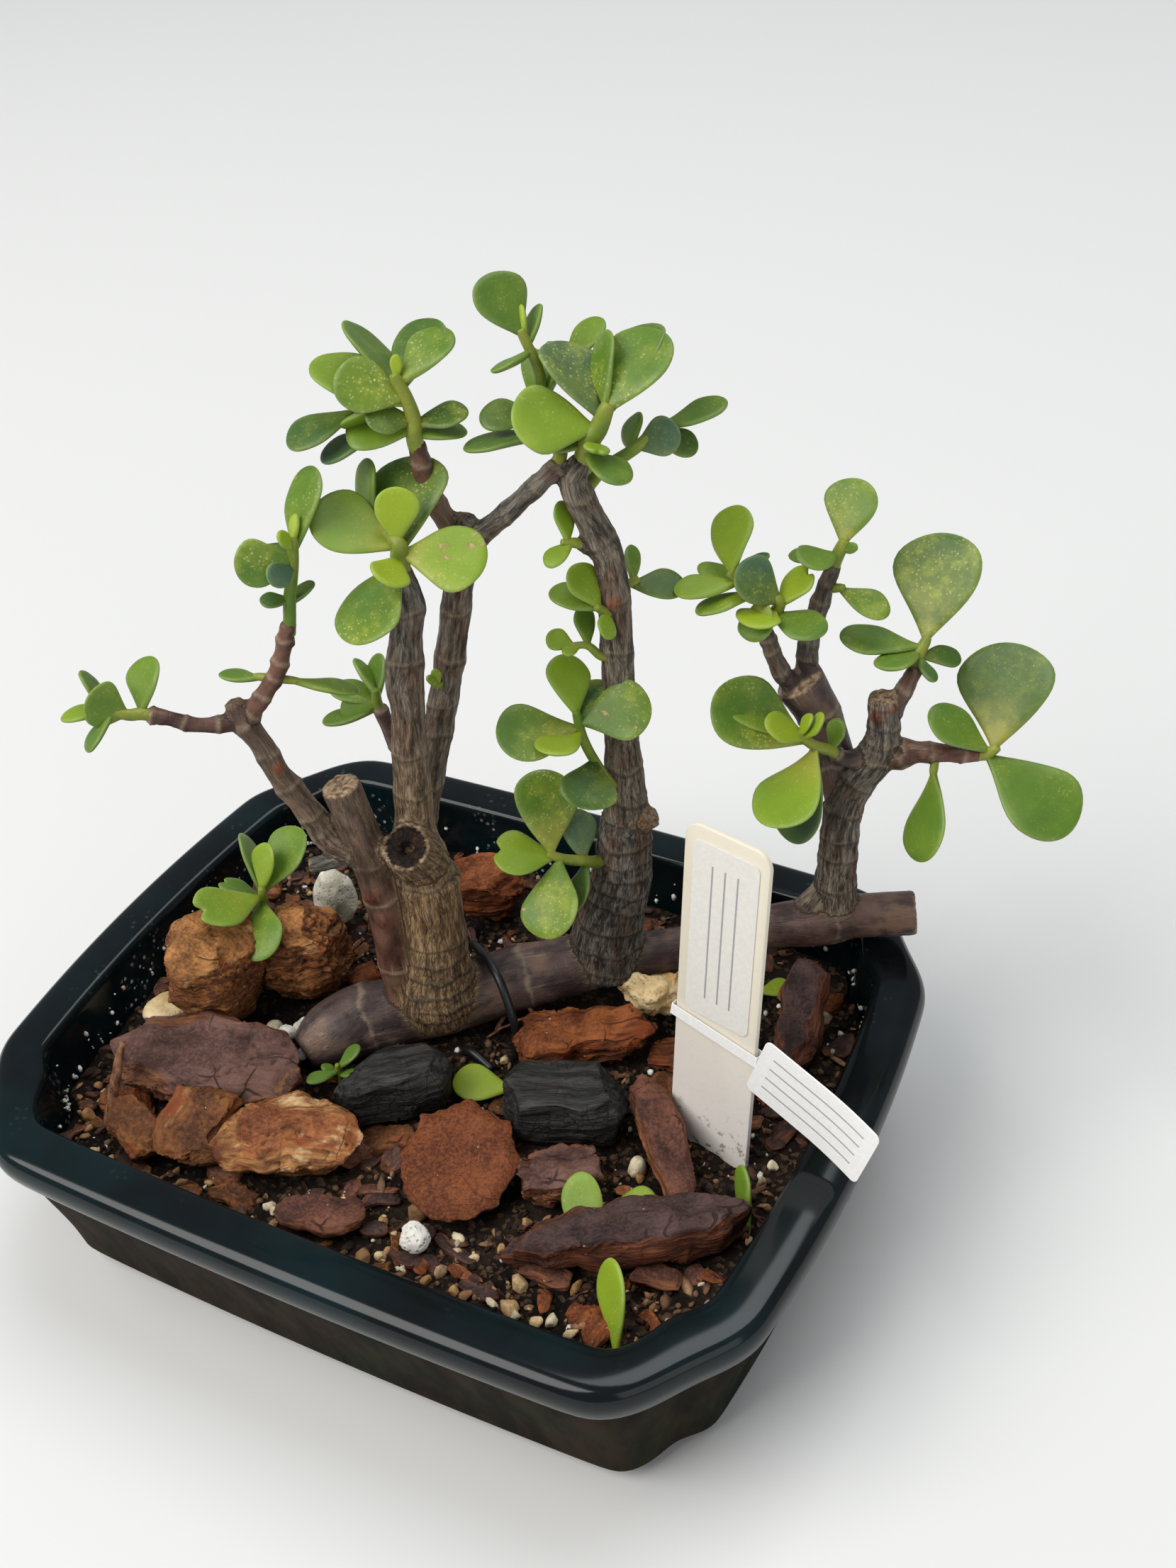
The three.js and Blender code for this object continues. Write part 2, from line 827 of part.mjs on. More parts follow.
    leaves: [
      [3, 125, 50, 16, 12.5, -30, 35],
      [3, -150, 10, 11, 9.5, -40, 65],
      [3, -70, -40, 15.5, 12, -100, 45],
      [1, -90, -45, 10, 6.5, -120, 40],
      [1, 130, 45, 10, 7.5, -25, 40],
    ],
  },
  {
    name: "leaves_trunk5_left",
    root: [45.1, 45.5, 109.5, 1.2],
    stem: [
      [44.6, 45, 112, 1.2],
      [47.5, 45.5, 117, 1.1],
      [44, 44, 119, 1],
      [40, 42.5, 122.5, 0.8],
    ],
    leaves: [
      [3, 110, 45, 12.5, 9, -115, 35],
      [3, -140, -5, 10.5, 6, -85, 80],
      [3, 160, -5, 8, 5, -155, 85],
      [2, -135, -5, 11.5, 5.5, 175, 85],
      [3, 75, 0, 9.5, 4, 170, 75],
      [1, -155, 45, 10.5, 9, -25, 35],
      [1, -105, 0, 9, 8, -35, 85],
      [2, -75, -45, 8.5, 7, -105, 40],
      [1, 60, 35, 8, 6.5, -115, 55],
      [1, -20, -15, 10, 9, -30, 75],
    ],
  },
  {
    name: "leaves_trunk5_right",
    root: [53.4, 54.6, 119, 1.2],
    stem: [
      [54, 55, 121.8, 1.2],
      [55, 55.5, 124.5, 1.1],
    ],
    leaves: [
      [1, 95, 45, 12, 9.5, -90, 45],
      [1, -125, 0, 9, 6.5, -30, 75],
      [1, -10, 10, 3, 2, -105, 30],
      [0, 170, -10, 9.5, 4.5, -150, 75],
    ],
  },
  {
    name: "leaf_trunk5_side",
    root: [52.4, 54.1, 116, 0.9],
    stem: [[55, 54, 116.8, 0.8]],
    leaves: [[0, 10, -25, 10, 6, -40, 55]],
  },
  {
    name: "leaves_trunk4_top",
    root: [68.8, 54.3, 101, 1.2],
    stem: [
      [69.2, 56.5, 104.5, 1.1],
      [69.8, 58, 106.5, 1],
    ],
    leaves: [
      [1, 95, 45, 20, 16, -95, 45],
      [1, -160, 5, 15, 8.5, -15, 85],
      [1, -115, 0, 11.5, 7, 150, 80],
      [1, 45, -35, 9, 4.5, 5, 45],
      [0, -45, -15, 6.5, 3, 10, 70],
    ],
  },
  {
    name: "leaves_trunk4_right",
    root: [79.5, 55.5, 86.4, 1.1],
    stem: [
      [82.6, 56, 86.7, 1.1],
      [84, 56.2, 88, 1],
    ],
    leaves: [
      [1, 95, 50, 19.5, 17.5, -95, 40],
      [1, -10, -35, 20, 15.5, -35, 50],
      [1, -166, 32, 13.9, 8.5, -20, 45],
    ],
  },
  {
    name: "leaf_trunk4_hanging",
    root: [74.2, 54.2, 86, 0.8],
    stem: [[74.5, 52.5, 83.5, 0.8]],
    leaves: [[0, -80, -45, 17, 10.5, -135, 30]],
  },
  {
    name: "leaves_trunk4_left",
    root: [58.4, 45.2, 87.6, 1.1],
    stem: [
      [57.9, 44.2, 89, 1.1],
      [55.5, 42, 91, 1],
      [53.5, 40, 94, 0.9],
    ],
    leaves: [
      [2, -165, 25, 17, 14, -45, 50],
      [2, -140, 35, 8, 6, -5, 45],
      [2, 10, 50, 6.5, 4, -140, 35],
      [2, -90, -35, 17.5, 13.5, -120, 50],
      [1, -90, -55, 18, 14, -130, 30],
      [0, 85, 60, 6, 4, -105, 30],
      [2, 25, 65, 5, 3, -135, 20],
      [2, -172, 20, 16.5, 6.5, -40, 70],
    ],
  },
  {
    name: "leaves_behind",
    root: [-16.4, 13.1, 98.5, 1.1],
    stem: [
      [-17, 13, 100.6, 1],
      [-17, 13, 102.5, 0.9],
    ],
    leaves: [
      [0, -155, -10, 7, 5, -70, 35],
      [1, 175, -5, 10, 7, 140, 85],
      [1, -150, -25, 11.5, 5.5, -170, 65],
      [1, 145, 20, 9, 4, 35, 40],
      [1, 120, 20, 9, 5.5, -130, 45],
    ],
  },
  {
    name: "bud_trunk2",
    root: [-5.6, 19.4, 104.5, 0.7],
    stem: [[-5.5, 16.2, 105.5, 0.6]],
    leaves: [
      [0, 135, 70, 3, 2, -55, 20],
      [0, -125, 50, 3, 2, 5, 30],
    ],
  },
];

// Two seedlings stand in the soil on stems of their own.
const SEEDLINGS = [
  {
    name: "seedling_left",
    root: [-53.5, 10.5, 25, 1.1],
    stem: [
      [-51.8, 8.8, 38, 1.1],
      [-45.3, 2.7, 54.2, 0.9],
    ],
    leaves: [
      [1, 75, 35, 14.7, 10.5, -105, 55],
      [1, 95, 60, 10, 6.8, -105, 25],
      [1, 140, 30, 13.3, 7.6, 30, 25],
      [1, -175, 0, 10, 6.2, 90, 75],
      [1, -97, 7, 15.5, 12.5, -75, 60],
      [1, -64, -33, 14.1, 10, -80, 50],
    ],
  },
  {
    name: "seedling_curly",
    root: [-18, -17, 25, 0.7],
    stem: [
      [-18, -17, 30, 0.7],
      [-18, -17, 34.5, 0.6],
    ],
    leaves: [
      [1, -125, 0, 6.5, 3, -80, 85],
      [1, 60, 30, 6, 3.5, -135, 55],
      [1, 10, -5, 4, 2.5, 15, 85],
      [1, -180, -10, 4, 2.5, 140, 75],
    ],
  },
];

// Fallen leaves lie among the chips, some of them pushed on edge into the soil by `sunk`.
const LOOSE_LEAVES = [
  { name: "loose_leaf_1", at: [13.2, -5.1], sunk: 0, shape: [0, -160, 8, 11.5, 8, -100, 75] },
  { name: "loose_leaf_2", at: [37.5, -23], sunk: 1.5, shape: [0, -60, -38, 15, 7.5, -90, 50] },
  { name: "loose_leaf_3", at: [42.6, -23.4], sunk: 0, shape: [0, 30, 8, 9, 7, -90, 72] },
  { name: "loose_leaf_4", at: [50.5, -37.5], sunk: 1.5, shape: [0, -62, -39, 15.5, 7, -140, 45] },
  { name: "loose_leaf_5", at: [62, -9], sunk: 1.5, shape: [0, -60, -40, 11.5, 5, -150, 30] },
  { name: "loose_leaf_6", at: [46.3, 37], sunk: 0, shape: [0, 40, 0, 7, 4, -90, 70] },
];

// A green stem runs on past its last pair of leaves as a short bud.
function greenStem(route, grown) {
  const [before, end] = route.slice(-2).map(point);
  const bud = end.clone().add(end.clone().sub(before).setLength(BUD_LENGTH));
  const tip = [...bud.toArray(), BUD_TAPER * route.at(-1)[3]];
  return limb({ sides: STEM_SIDES, route: [...route, tip] }, grown);
}

const tipOf = (foot, [, azimuth, rise, length]) =>
  foot.clone().addScaledVector(direction(azimuth, rise), length);

// The leaves that share a stem point are drawn apart along the stem, the flattest lowest, as
// pairs of leaves follow each other. Their tips stay where the rows put them.
function blades(route, first, rows, grown) {
  const spots = route.map(point);
  return spots.flatMap((spot, i) => {
    const here = rows.filter((row) => row[0] === first + i).sort((a, b) => b[2] - a[2]);
    const down = spots[Math.max(i - 1, 0)].clone().sub(spots[Math.max(i, 1)] ?? spot);
    down.setLength(LEAF_SPACING);
    return here.map((row, k) =>
      leaf(spot.clone().addScaledVector(down, k), tipOf(spot, row), row, grown),
    );
  });
}

// A shoot may have a side stem, whose points are counted on from those of the main one.
function shoot({ root, stem, side, leaves }, grown = 0) {
  const solids = [greenStem([root, ...stem], grown), ...blades(stem, 0, leaves, grown)];
  if (side) {
    solids.push(greenStem([stem[side.from], ...side.stem], grown));
    solids.push(...blades(side.stem, stem.length, leaves, grown));
  }
  return joined(solids);
}

// Bark chips, charcoal and stones: irregular lumps that lie loose on the soil, the highest first
// where they meet. Size is along, across and thick. Turn is about Z, pitch lifts the far end and
// lean lifts the back edge.
const CHIPS = [
  { name: "bark_disc", at: [15.2, -27.7], size: [25, 26, 5], turn: 20, lean: 12, edge: 0.06, seed: 3 },
  { name: "charcoal_right", at: [27, -8.8], size: [24.5, 16, 12], turn: 22, lean: 5, seed: 5 },
  { name: "charcoal_left", at: [-4, -17.3], size: [23.5, 13, 12], turn: 38, pitch: 3, seed: 6 },
  { name: "bark_strip_long", at: [50.3, -29], size: [42.5, 13, 9.5], turn: 33, edge: 0.15, seed: 8 },
  { name: "bark_slab_purple", at: [-41.2, -25.5], size: [41, 22, 8.5], turn: 16, lean: 8, seed: 9 },
  { name: "bark_nugget_left", at: [-51.2, -8.5], size: [20, 25, 26], turn: 0, round: true, seed: 11 },
  { name: "bark_nugget_middle", at: [-39.2, 3.9], size: [21, 18, 19.5], turn: 30, round: true, seed: 12 },
  { name: "bark_tan", at: [-17.2, -35.2], size: [29, 18, 7], turn: 24, lean: 12, seed: 14 },
  { name: "bark_stick_diagonal", at: [46.7, -8.5], size: [27, 9, 6], turn: 131, pitch: 12, seed: 15 },
  { name: "bark_chip_middle", at: [31.8, -22], size: [15.5, 13.5, 6.5], turn: 40, seed: 16 },
  { name: "bark_chip_back", at: [22, 9.2], size: [31, 14, 7.5], turn: 32, lean: 10, seed: 17 },
  { name: "bark_strip_upright", at: [59.2, 28.3], size: [24, 10, 8], turn: 100, pitch: 26, seed: 18 },
  { name: "bark_chip_behind", at: [-14.4, 39], size: [17, 15, 11], turn: 20, pitch: 8, seed: 19 },
  { name: "bark_chip_left", at: [-33, -39.6], size: [19, 16, 5.5], turn: 8, lean: 20, seed: 20 },
  { name: "bark_chip_corner", at: [-46.5, -44], size: [18, 10, 5], turn: -22, lean: 8, seed: 21 },
  { name: "bark_chip_front", at: [-2.8, -46], size: [18, 8.5, 4.2], turn: 18, seed: 22 },
  { name: "pumice", at: [29, 25], size: [15, 10, 10.5], turn: 25, round: true, edge: 0.14, seed: 24 },
  { name: "stone_white", at: [-44.2, 22.3], size: [10, 9, 13], turn: 10, round: true, seed: 25 },
  { name: "stone_beige", at: [-60.3, -14.5], size: [13, 9, 4], turn: 60, seed: 26 },
  { name: "perlite_lump", at: [14.7, -43.6], size: [5.5, 6.5, 4.4], turn: 60, round: true, seed: 27 },
];

// Share of the full outline at each level, from the bottom face to the top one.
const SLAB_LEVELS = [
  [-0.5, 0.85],
  [0.2, 1],
  [0.5, 0.78],
];
const ROUND_LEVELS = [
  [-0.5, 0.6],
  [-0.1, 1],
  [0.3, 0.85],
  [0.5, 0.42],
];

const CHIP_SIDES = 8;

function chip(parts, grown = 0) {
  const { at, size, turn, pitch = 0, lean = 0, edge = 0.1, round = false, seed } = parts;
  const draw = draws(seed);
  const reach = Array.from({ length: CHIP_SIDES }, () => 1 + edge * (2 * draw() - 1));
  const turned = new THREE.Matrix4()
    .makeRotationZ(radians(turn))
    .multiply(new THREE.Matrix4().makeRotationY(radians(-pitch)))
    .multiply(new THREE.Matrix4().makeRotationX(radians(lean)));
  const levels = (round ? ROUND_LEVELS : SLAB_LEVELS).map(([height, share]) => ({
    height,
    share,
    slope: 0.08 * (2 * draw() - 1),
  }));
  const boxiness = round ? 0.02 : 0.07; // how far the outline is squared off
  const ringsGrownBy = (more) =>
    levels.map(({ height, share, slope }) =>
      reach.map((r, j) => {
        const angle = (2 * Math.PI * j) / CHIP_SIDES;
        const out = share * r * (1 - boxiness * Math.cos(4 * angle));
        const x = ((size[0] / 2) * out + more) * Math.cos(angle);
        const y = ((size[1] / 2) * out + more) * Math.sin(angle);
        const z = height * size[2] * (1 + slope * Math.cos(angle)) + Math.sign(height) * more;
        return new THREE.Vector3(x, y, z).applyMatrix4(turned);
      }),
    );
  const lowest = Math.min(...ringsGrownBy(0).flat().map((p) => p.z));
  return skin(ringsGrownBy(grown)).translate([...at, BED - lowest]);
}

// A spill of perlite grains that cling together.
const PERLITE_SPOT = [-34, -11.5, BED + 2.2];

function perliteCluster(grown = 0) {
  const draw = draws(31);
  const grains = [[0, 0, 0, 2.6]];
  for (let i = 0; i < 4; i++) {
    const angle = 1.57 * i;
    grains.push([3.2 * Math.cos(angle), 2.8 * Math.sin(angle), draw() - 0.4, 1.8 + 0.5 * draw()]);
  }
  return joined(
    grains.map(([x, y, z, radius]) => {
      const grain = new THREE.IcosahedronGeometry(radius + grown, 0);
      grain.rotateZ(6 * draw());
      grain.translate(PERLITE_SPOT[0] + x, PERLITE_SPOT[1] + y, PERLITE_SPOT[2] + z);
      return solidOfGeometry(grain);
    }),
  );
}

// The black anchor wire comes up behind the first trunk, goes over the raft and down in front
// of it, turns under the soil and comes out again as a short tail.
const WIRE_RADIUS = 0.85;
const WIRE_SIDES = 6;
const WIRE_STEPS = 26;
const WIRE_ROUTE = [
  [-12, 20.5, 27],
  [-11, 19.5, 34],
  [-6.5, 16.5, 42],
  [-0.5, 11.5, 45.6],
  [5, 7.5, 44.6],
  [8.6, 4.8, 39],
  [9.6, 4, 33],
  [8.6, 3, 28],
  [4, 1.6, 26.5],
  [-0.5, 0.6, 29],
  [2, -0.8, 31.6],
  [7.5, -2.6, 30.6],
];

function wire(grown = 0) {
  const path = new THREE.CatmullRomCurve3(WIRE_ROUTE.map(point));
  const route = path.getSpacedPoints(WIRE_STEPS).map((p) => [...p.toArray(), WIRE_RADIUS]);
  return limb({ sides: WIRE_SIDES, route }, grown);
}

// The label: a cream plastic stake with rounded top corners and a pointed foot. A printed
// sticker lies on its face, and a paper tag hangs from a band round it.
const STICKER = { width: 13.4, height: 36, middle: [0.1, 47.3], thickness: 0.6, corner: 1.5 };
const TAG = { width: 25, height: 13, middle: [21.4, 22.1], thickness: 0.6, corner: 1.2, roll: -16 };
const BAND = { middle: 26.6, height: 2.4, thickness: 0.8, roll: -6.5 };

const labelPlace = new THREE.Matrix4()
  .makeTranslation(...LABEL_FOOT)
  .multiply(new THREE.Matrix4().makeRotationZ(radians(LABEL_TURN)))
  .multiply(new THREE.Matrix4().makeRotationX(radians(90 - LABEL_LEAN)));

// In the label's own frame X is along its width, Y up it and Z out of its face.
function plate(shape, thickness, back) {
  const geometry = new THREE.ExtrudeGeometry(shape, {
    depth: thickness,
    bevelEnabled: false,
    curveSegments: 4,
  });
  return geometry.translate(0, 0, back);
}

function roundedShape(left, low, width, height, corner) {
  const right = left + width;
  const high = low + height;
  const shape = new THREE.Shape().moveTo(left + corner, low).lineTo(right - corner, low);
  shape.quadraticCurveTo(right, low, right, low + corner).lineTo(right, high - corner);
  shape.quadraticCurveTo(right, high, right - corner, high).lineTo(left + corner, high);
  shape.quadraticCurveTo(left, high, left, high - corner).lineTo(left, low + corner);
  return shape.quadraticCurveTo(left, low, left + corner, low);
}

function labelStake(grown = 0) {
  const half = LABEL_WIDTH / 2 + grown;
  const top = LABEL_RISE + grown;
  const corner = LABEL_CORNER;
  const shape = new THREE.Shape().moveTo(0, -LABEL_DEPTH - 2 * grown).lineTo(half, -LABEL_SHOULDER);
  shape.lineTo(half, top - corner).quadraticCurveTo(half, top, half - corner, top);
  shape.lineTo(corner - half, top).quadraticCurveTo(-half, top, -half, top - corner);
  shape.lineTo(-half, -LABEL_SHOULDER);
  const geometry = plate(shape, LABEL_THICKNESS + 2 * grown, -LABEL_THICKNESS - grown);
  return solidOfGeometry(geometry.applyMatrix4(labelPlace));
}

function labelSticker() {
  const { width, height, middle, thickness, corner } = STICKER;
  const shape = roundedShape(middle[0] - width / 2, middle[1] - height / 2, width, height, corner);
  return solidOfGeometry(plate(shape, thickness, GAP).applyMatrix4(labelPlace));
}

function hangTag() {
  const reach = LABEL_WIDTH / 2 + 2 * GAP; // the tilted band still clears the label's edges
  const sleeve = (grown, height) => {
    const depth = LABEL_THICKNESS + 2 * (GAP + grown);
    const block = new THREE.BoxGeometry(2 * (reach + grown), height, depth);
    block.rotateZ(radians(BAND.roll)).translate(0, BAND.middle, -LABEL_THICKNESS / 2);
    return solidOfGeometry(block);
  };
  const corners = roundedShape(-TAG.width / 2, -TAG.height / 2, TAG.width, TAG.height, TAG.corner);
  const tag = plate(corners, TAG.thickness, GAP + 0.1);
  tag.rotateZ(radians(TAG.roll)).translate(TAG.middle[0], TAG.middle[1], 0);
  return sleeve(BAND.thickness, BAND.height)
    .subtract(sleeve(0, 2 * BAND.height))
    .add(solidOfGeometry(tag))
    .transform([...labelPlace.elements]);
}

// The soil: it fills the pot to a hand's breadth of bumps, with a plain hole for each thing
// that stands or lies in it.
const SOIL_EDGE_DROP = 0.6; // at the pot's wall
const SOIL_RINGS = [0.7, 0.35]; // shares of the way out to the wall

function soilHeight(x, y) {
  return SOIL_LEVEL + SOIL_BUMP * Math.sin(x / 5.3 + 1) * Math.cos(y / 4.7 + 0.6);
}

function soil(cutters) {
  const floor = potOutline(WALL_INSET_AT_FLOOR + GAP);
  const wall = potOutline(WALL_INSET_AT_SOIL + GAP);
  const levels = [
    floor.map(([x, y]) => new THREE.Vector3(x, y, POT_FLOOR + GAP)),
    wall.map(([x, y]) => new THREE.Vector3(x, y, SOIL_LEVEL - SOIL_EDGE_DROP)),
    ...SOIL_RINGS.map((share) =>
      wall.map(([x, y]) => new THREE.Vector3(share * x, share * y, soilHeight(share * x, share * y))),
    ),
  ];
  return cutBy(skin(levels), cutters);
}

// Everything is put together from the wood outwards: what is added later makes room for what
// is there already.
const wood = joined(LIMBS.map((each) => limb(each)));
const woodRoom = joined(LIMBS.map((each) => limb(each, GAP)));
const wireSolid = wire();
const fixedRoom = [woodRoom, wire(GAP), labelStake(GAP)];

addPiece("pot", pot(), COLOURS.glaze, 0.15);
addPiece("tree_wood", wood, COLOURS.bark, 0.85);
addPiece("anchor_wire", wireSolid, COLOURS.wire, 0.4);
addPiece("plant_label", labelStake(), COLOURS.cream, 0.45);
addPiece("label_sticker", labelSticker(), COLOURS.paper, 0.5);
addPiece("hang_tag", hangTag(), COLOURS.paper, 0.6);

for (const parts of SHOOTS) {
  addPiece(parts.name, cutBy(shoot(parts), [woodRoom]), COLOURS.leaf, 0.35);
}

const soilRoom = [...fixedRoom];
for (const parts of SEEDLINGS) {
  addPiece(parts.name, shoot(parts), COLOURS.leaf, 0.35);
  soilRoom.push(shoot(parts, GAP));
}
for (const { name, at, sunk, shape } of LOOSE_LEAVES) {
  const lying = (grown) => leaf(point([...at, 0]), tipOf(point([...at, 0]), shape), shape, grown);
  const lift = BED - sunk - lying(0).boundingBox().min[2];
  addPiece(name, lying(0).translate(0, 0, lift), COLOURS.youngLeaf, 0.35);
  soilRoom.push(lying(GAP).translate(0, 0, lift));
}

const CHIP_COLOURS = [
  ["charcoal", COLOURS.charcoal],
  ["pumice", COLOURS.pumice],
  ["stone", COLOURS.stone],
  ["perlite", COLOURS.perlite],
  ["bark_slab", COLOURS.purpleChip],
  ["bark_strip", COLOURS.purpleChip],
  ["bark_nugget", COLOURS.orangeChip],
  ["bark", COLOURS.barkChip],
];
for (const parts of CHIPS) {
  const colour = CHIP_COLOURS.find(([start]) => parts.name.startsWith(start))[1];
  addPiece(parts.name, cutBy(chip(parts), soilRoom), colour, 0.9);
  soilRoom.push(chip(parts, GAP));
}
addPiece("perlite_cluster", cutBy(perliteCluster(), soilRoom), COLOURS.perlite, 0.9);
soilRoom.push(perliteCluster(GAP));
addPiece("soil", soil(soilRoom), COLOURS.soil, 1);

export default group;
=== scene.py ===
"""A dwarf jade bonsai in its glazed pot: a raft of old wood with five small trunks, fleshy
leaves in pairs, and gritty soil dressed with bark, charcoal and pumice.

Tables of places and sizes are in millimetres in the model's own frame, and MM turns them into
metres. The origin is the middle of the pot's underside, X runs along the pot and Z is up.
"""

import math
import random
from collections import namedtuple

import bpy
import numpy as np
from mathutils import Matrix, Vector, noise
from mathutils.bvhtree import BVHTree


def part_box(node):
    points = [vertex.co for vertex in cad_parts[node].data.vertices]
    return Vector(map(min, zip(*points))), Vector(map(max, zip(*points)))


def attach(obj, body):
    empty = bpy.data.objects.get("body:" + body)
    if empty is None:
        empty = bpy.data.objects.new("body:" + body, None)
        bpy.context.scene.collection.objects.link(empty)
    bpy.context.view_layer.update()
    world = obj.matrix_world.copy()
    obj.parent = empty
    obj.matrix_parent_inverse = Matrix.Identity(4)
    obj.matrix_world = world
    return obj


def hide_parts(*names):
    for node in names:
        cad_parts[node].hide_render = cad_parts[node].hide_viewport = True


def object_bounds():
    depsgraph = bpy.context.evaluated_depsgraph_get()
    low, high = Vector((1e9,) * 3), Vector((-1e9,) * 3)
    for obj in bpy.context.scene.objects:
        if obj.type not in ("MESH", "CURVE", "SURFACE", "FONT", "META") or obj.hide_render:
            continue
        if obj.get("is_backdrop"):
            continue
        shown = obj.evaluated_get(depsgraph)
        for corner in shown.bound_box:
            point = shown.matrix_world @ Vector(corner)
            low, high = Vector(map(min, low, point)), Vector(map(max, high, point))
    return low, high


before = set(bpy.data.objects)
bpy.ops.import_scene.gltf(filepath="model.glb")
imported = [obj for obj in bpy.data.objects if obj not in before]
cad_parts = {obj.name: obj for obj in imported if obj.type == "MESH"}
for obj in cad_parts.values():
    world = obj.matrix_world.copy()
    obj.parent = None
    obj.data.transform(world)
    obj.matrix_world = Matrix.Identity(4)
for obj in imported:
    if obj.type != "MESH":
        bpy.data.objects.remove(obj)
cad_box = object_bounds()

MM = 0.001

# The pot. Slip-cast stoneware with bowed sides and two-lobed corners, a broad rolled lip and a
# low foot. It is dipped in a black glaze that breaks green where it is thick, and has two drain
# holes, with a shallow channel under each.

POT_HALF_LENGTH = 80
POT_HALF_WIDTH = 65
SHORT_SIDE_BOW = 2.3
LONG_SIDE_BOW = 1.1
CORNER_LENGTH = 24
CORNER_WIDTH = 27.7
CORNER_HOLLOW = 3.5
CORNER_X = POT_HALF_LENGTH - CORNER_LENGTH
CORNER_Y = POT_HALF_WIDTH - CORNER_WIDTH
SIDE_POINTS = 14
CORNER_POINTS = 26

# Inset from the lip's edge and height, up the outside, over the rim and down the inside.
POT_PROFILE = [
    (16.4, 0), (15.8, 0.5), (15.5, 2.4), (13.4, 2.9), (11.4, 3.1), (10.3, 3.9), (9.9, 5.6),
    (8.9, 11), (7.4, 17), (6.2, 21.4), (5.1, 25.6), (4.6, 28.4), (4.3, 30), (3.2, 31.3),
    (1.8, 32.8), (0.8, 34.4), (0.25, 36.2), (0.15, 37.6), (0.45, 39), (1.3, 40.2), (2.6, 40.8),
    (4.4, 41), (6.6, 41), (8.6, 40.9), (9.6, 40.5), (10.2, 39.4), (10.5, 37.4), (11, 34),
    (11.6, 31), (12.6, 26), (14.5, 16), (16, 10.5), (18.5, 8.2), (24, 8),
]
NECK_HEIGHT = 30.2
BODY_TOP = 30.4
DUST_FOOT = 28
DUST_TOP = 39.5
RIM_HEIGHT = 41
SHARPEST_BEND = 42
DRAIN_RADIUS = 6
DRAIN_OFFSET = 35
DRAIN_DEPTH = 40
CHANNEL_HEIGHT = 3


def rounded(points, steps):
    """A smooth curve through points of any dimension, with some steps for each stretch."""
    p = np.array(points, float)
    p = np.vstack([2 * p[0] - p[1], p, 2 * p[-1] - p[-2]])
    t = np.arange(steps)[:, None] / steps
    made = []
    for a, b, c, d in zip(p, p[1:], p[2:], p[3:]):
        made.append(
            b + 0.5 * t * (c - a + t * (2 * a - 5 * b + 4 * c - d + t * (3 * (b - c) + d - a)))
        )
    return np.vstack([*made, p[-2]])


def pot_outline(inset):
    """The pot's outline in plan at an inset from its lip, anticlockwise from +X."""
    side = np.linspace(0, 1, SIDE_POINTS, endpoint=False)
    x_side = POT_HALF_LENGTH - inset + SHORT_SIDE_BOW * (1 - side**2)
    angle = np.linspace(0, math.pi / 2, CORNER_POINTS)
    a, b = CORNER_LENGTH - inset, CORNER_WIDTH - inset
    reach = a * b / np.hypot(b * np.cos(angle), a * np.sin(angle))
    reach -= CORNER_HOLLOW * np.sin(2 * angle) ** 2
    y_side = POT_HALF_WIDTH - inset + LONG_SIDE_BOW * (1 - side[::-1] ** 2)
    x = np.concatenate([x_side, CORNER_X + reach * np.cos(angle), CORNER_X * side[::-1]])
    y = np.concatenate([CORNER_Y * side, CORNER_Y + reach * np.sin(angle), y_side])
    quarter = np.column_stack([x, y])
    back = np.vstack([quarter, quarter[-2::-1] * [-1, 1]])
    loop = np.vstack([back, back[-2:0:-1] * [1, -1]])
    for _ in range(3):
        loop = (np.roll(loop, 1, 0) + 2 * loop + np.roll(loop, -1, 0)) / 4
    return loop


def ring_at(inset, height):
    """The points of the pot's outline at an inset from its lip and a height."""
    outline = pot_outline(inset)
    return np.column_stack([outline, np.full(len(outline), height)])


def new_object(name, data):
    made = bpy.data.objects.new(name, data)
    bpy.context.scene.collection.objects.link(made)
    return made


def mesh_piece(name, points, faces):
    """A new object from points in millimetres."""
    mesh = bpy.data.meshes.new(name)
    mesh.from_pydata(np.asarray(points, float) * MM, [], faces)
    mesh.shade_smooth()
    return new_object(name, mesh)


def add_attribute(piece, name, values):
    """Gives each point of a piece a number, a vector or a colour."""
    values = np.asarray(values, np.float32)
    kinds = {1: ("FLOAT", "value"), 3: ("FLOAT_VECTOR", "vector"), 4: ("FLOAT_COLOR", "color")}
    kind, key = kinds[values[0].size]
    layer = piece.data.attributes.new(name, kind, "POINT")
    layer.data.foreach_set(key, values.ravel())


def skin_faces(rings, around):
    """The faces of a skin over rings of points, with a point at either end. The points of the
    rings are numbered first, then the start point and the end point."""
    k, i = np.meshgrid(np.arange(rings - 1), np.arange(around), indexing="ij")
    j = (i + 1) % around
    low, high = k * around, (k + 1) * around
    sides = np.stack([low + i, low + j, high + j, high + i], axis=-1).reshape(-1, 4)
    start = rings * around
    last = start - around
    pairs = [(a, (a + 1) % around) for a in range(around)]
    caps = [(start, b, a) for a, b in pairs]
    caps += [(start + 1, last + a, last + b) for a, b in pairs]
    return [*map(tuple, sides.tolist()), *caps]


def lofted(rings):
    """Points and faces of a closed skin over rings, each an array of as many points."""
    rings = [np.asarray(r, float) for r in rings]
    ends = [rings[0].mean(0), rings[-1].mean(0)]
    return np.vstack([*rings, *ends]), skin_faces(len(rings), len(rings[0]))


def select(*pieces):
    """Selects these pieces alone, the first of them as the active one."""
    bpy.ops.object.select_all(action="DESELECT")
    for piece in pieces:
        piece.select_set(True)
    bpy.context.view_layer.objects.active = pieces[0]


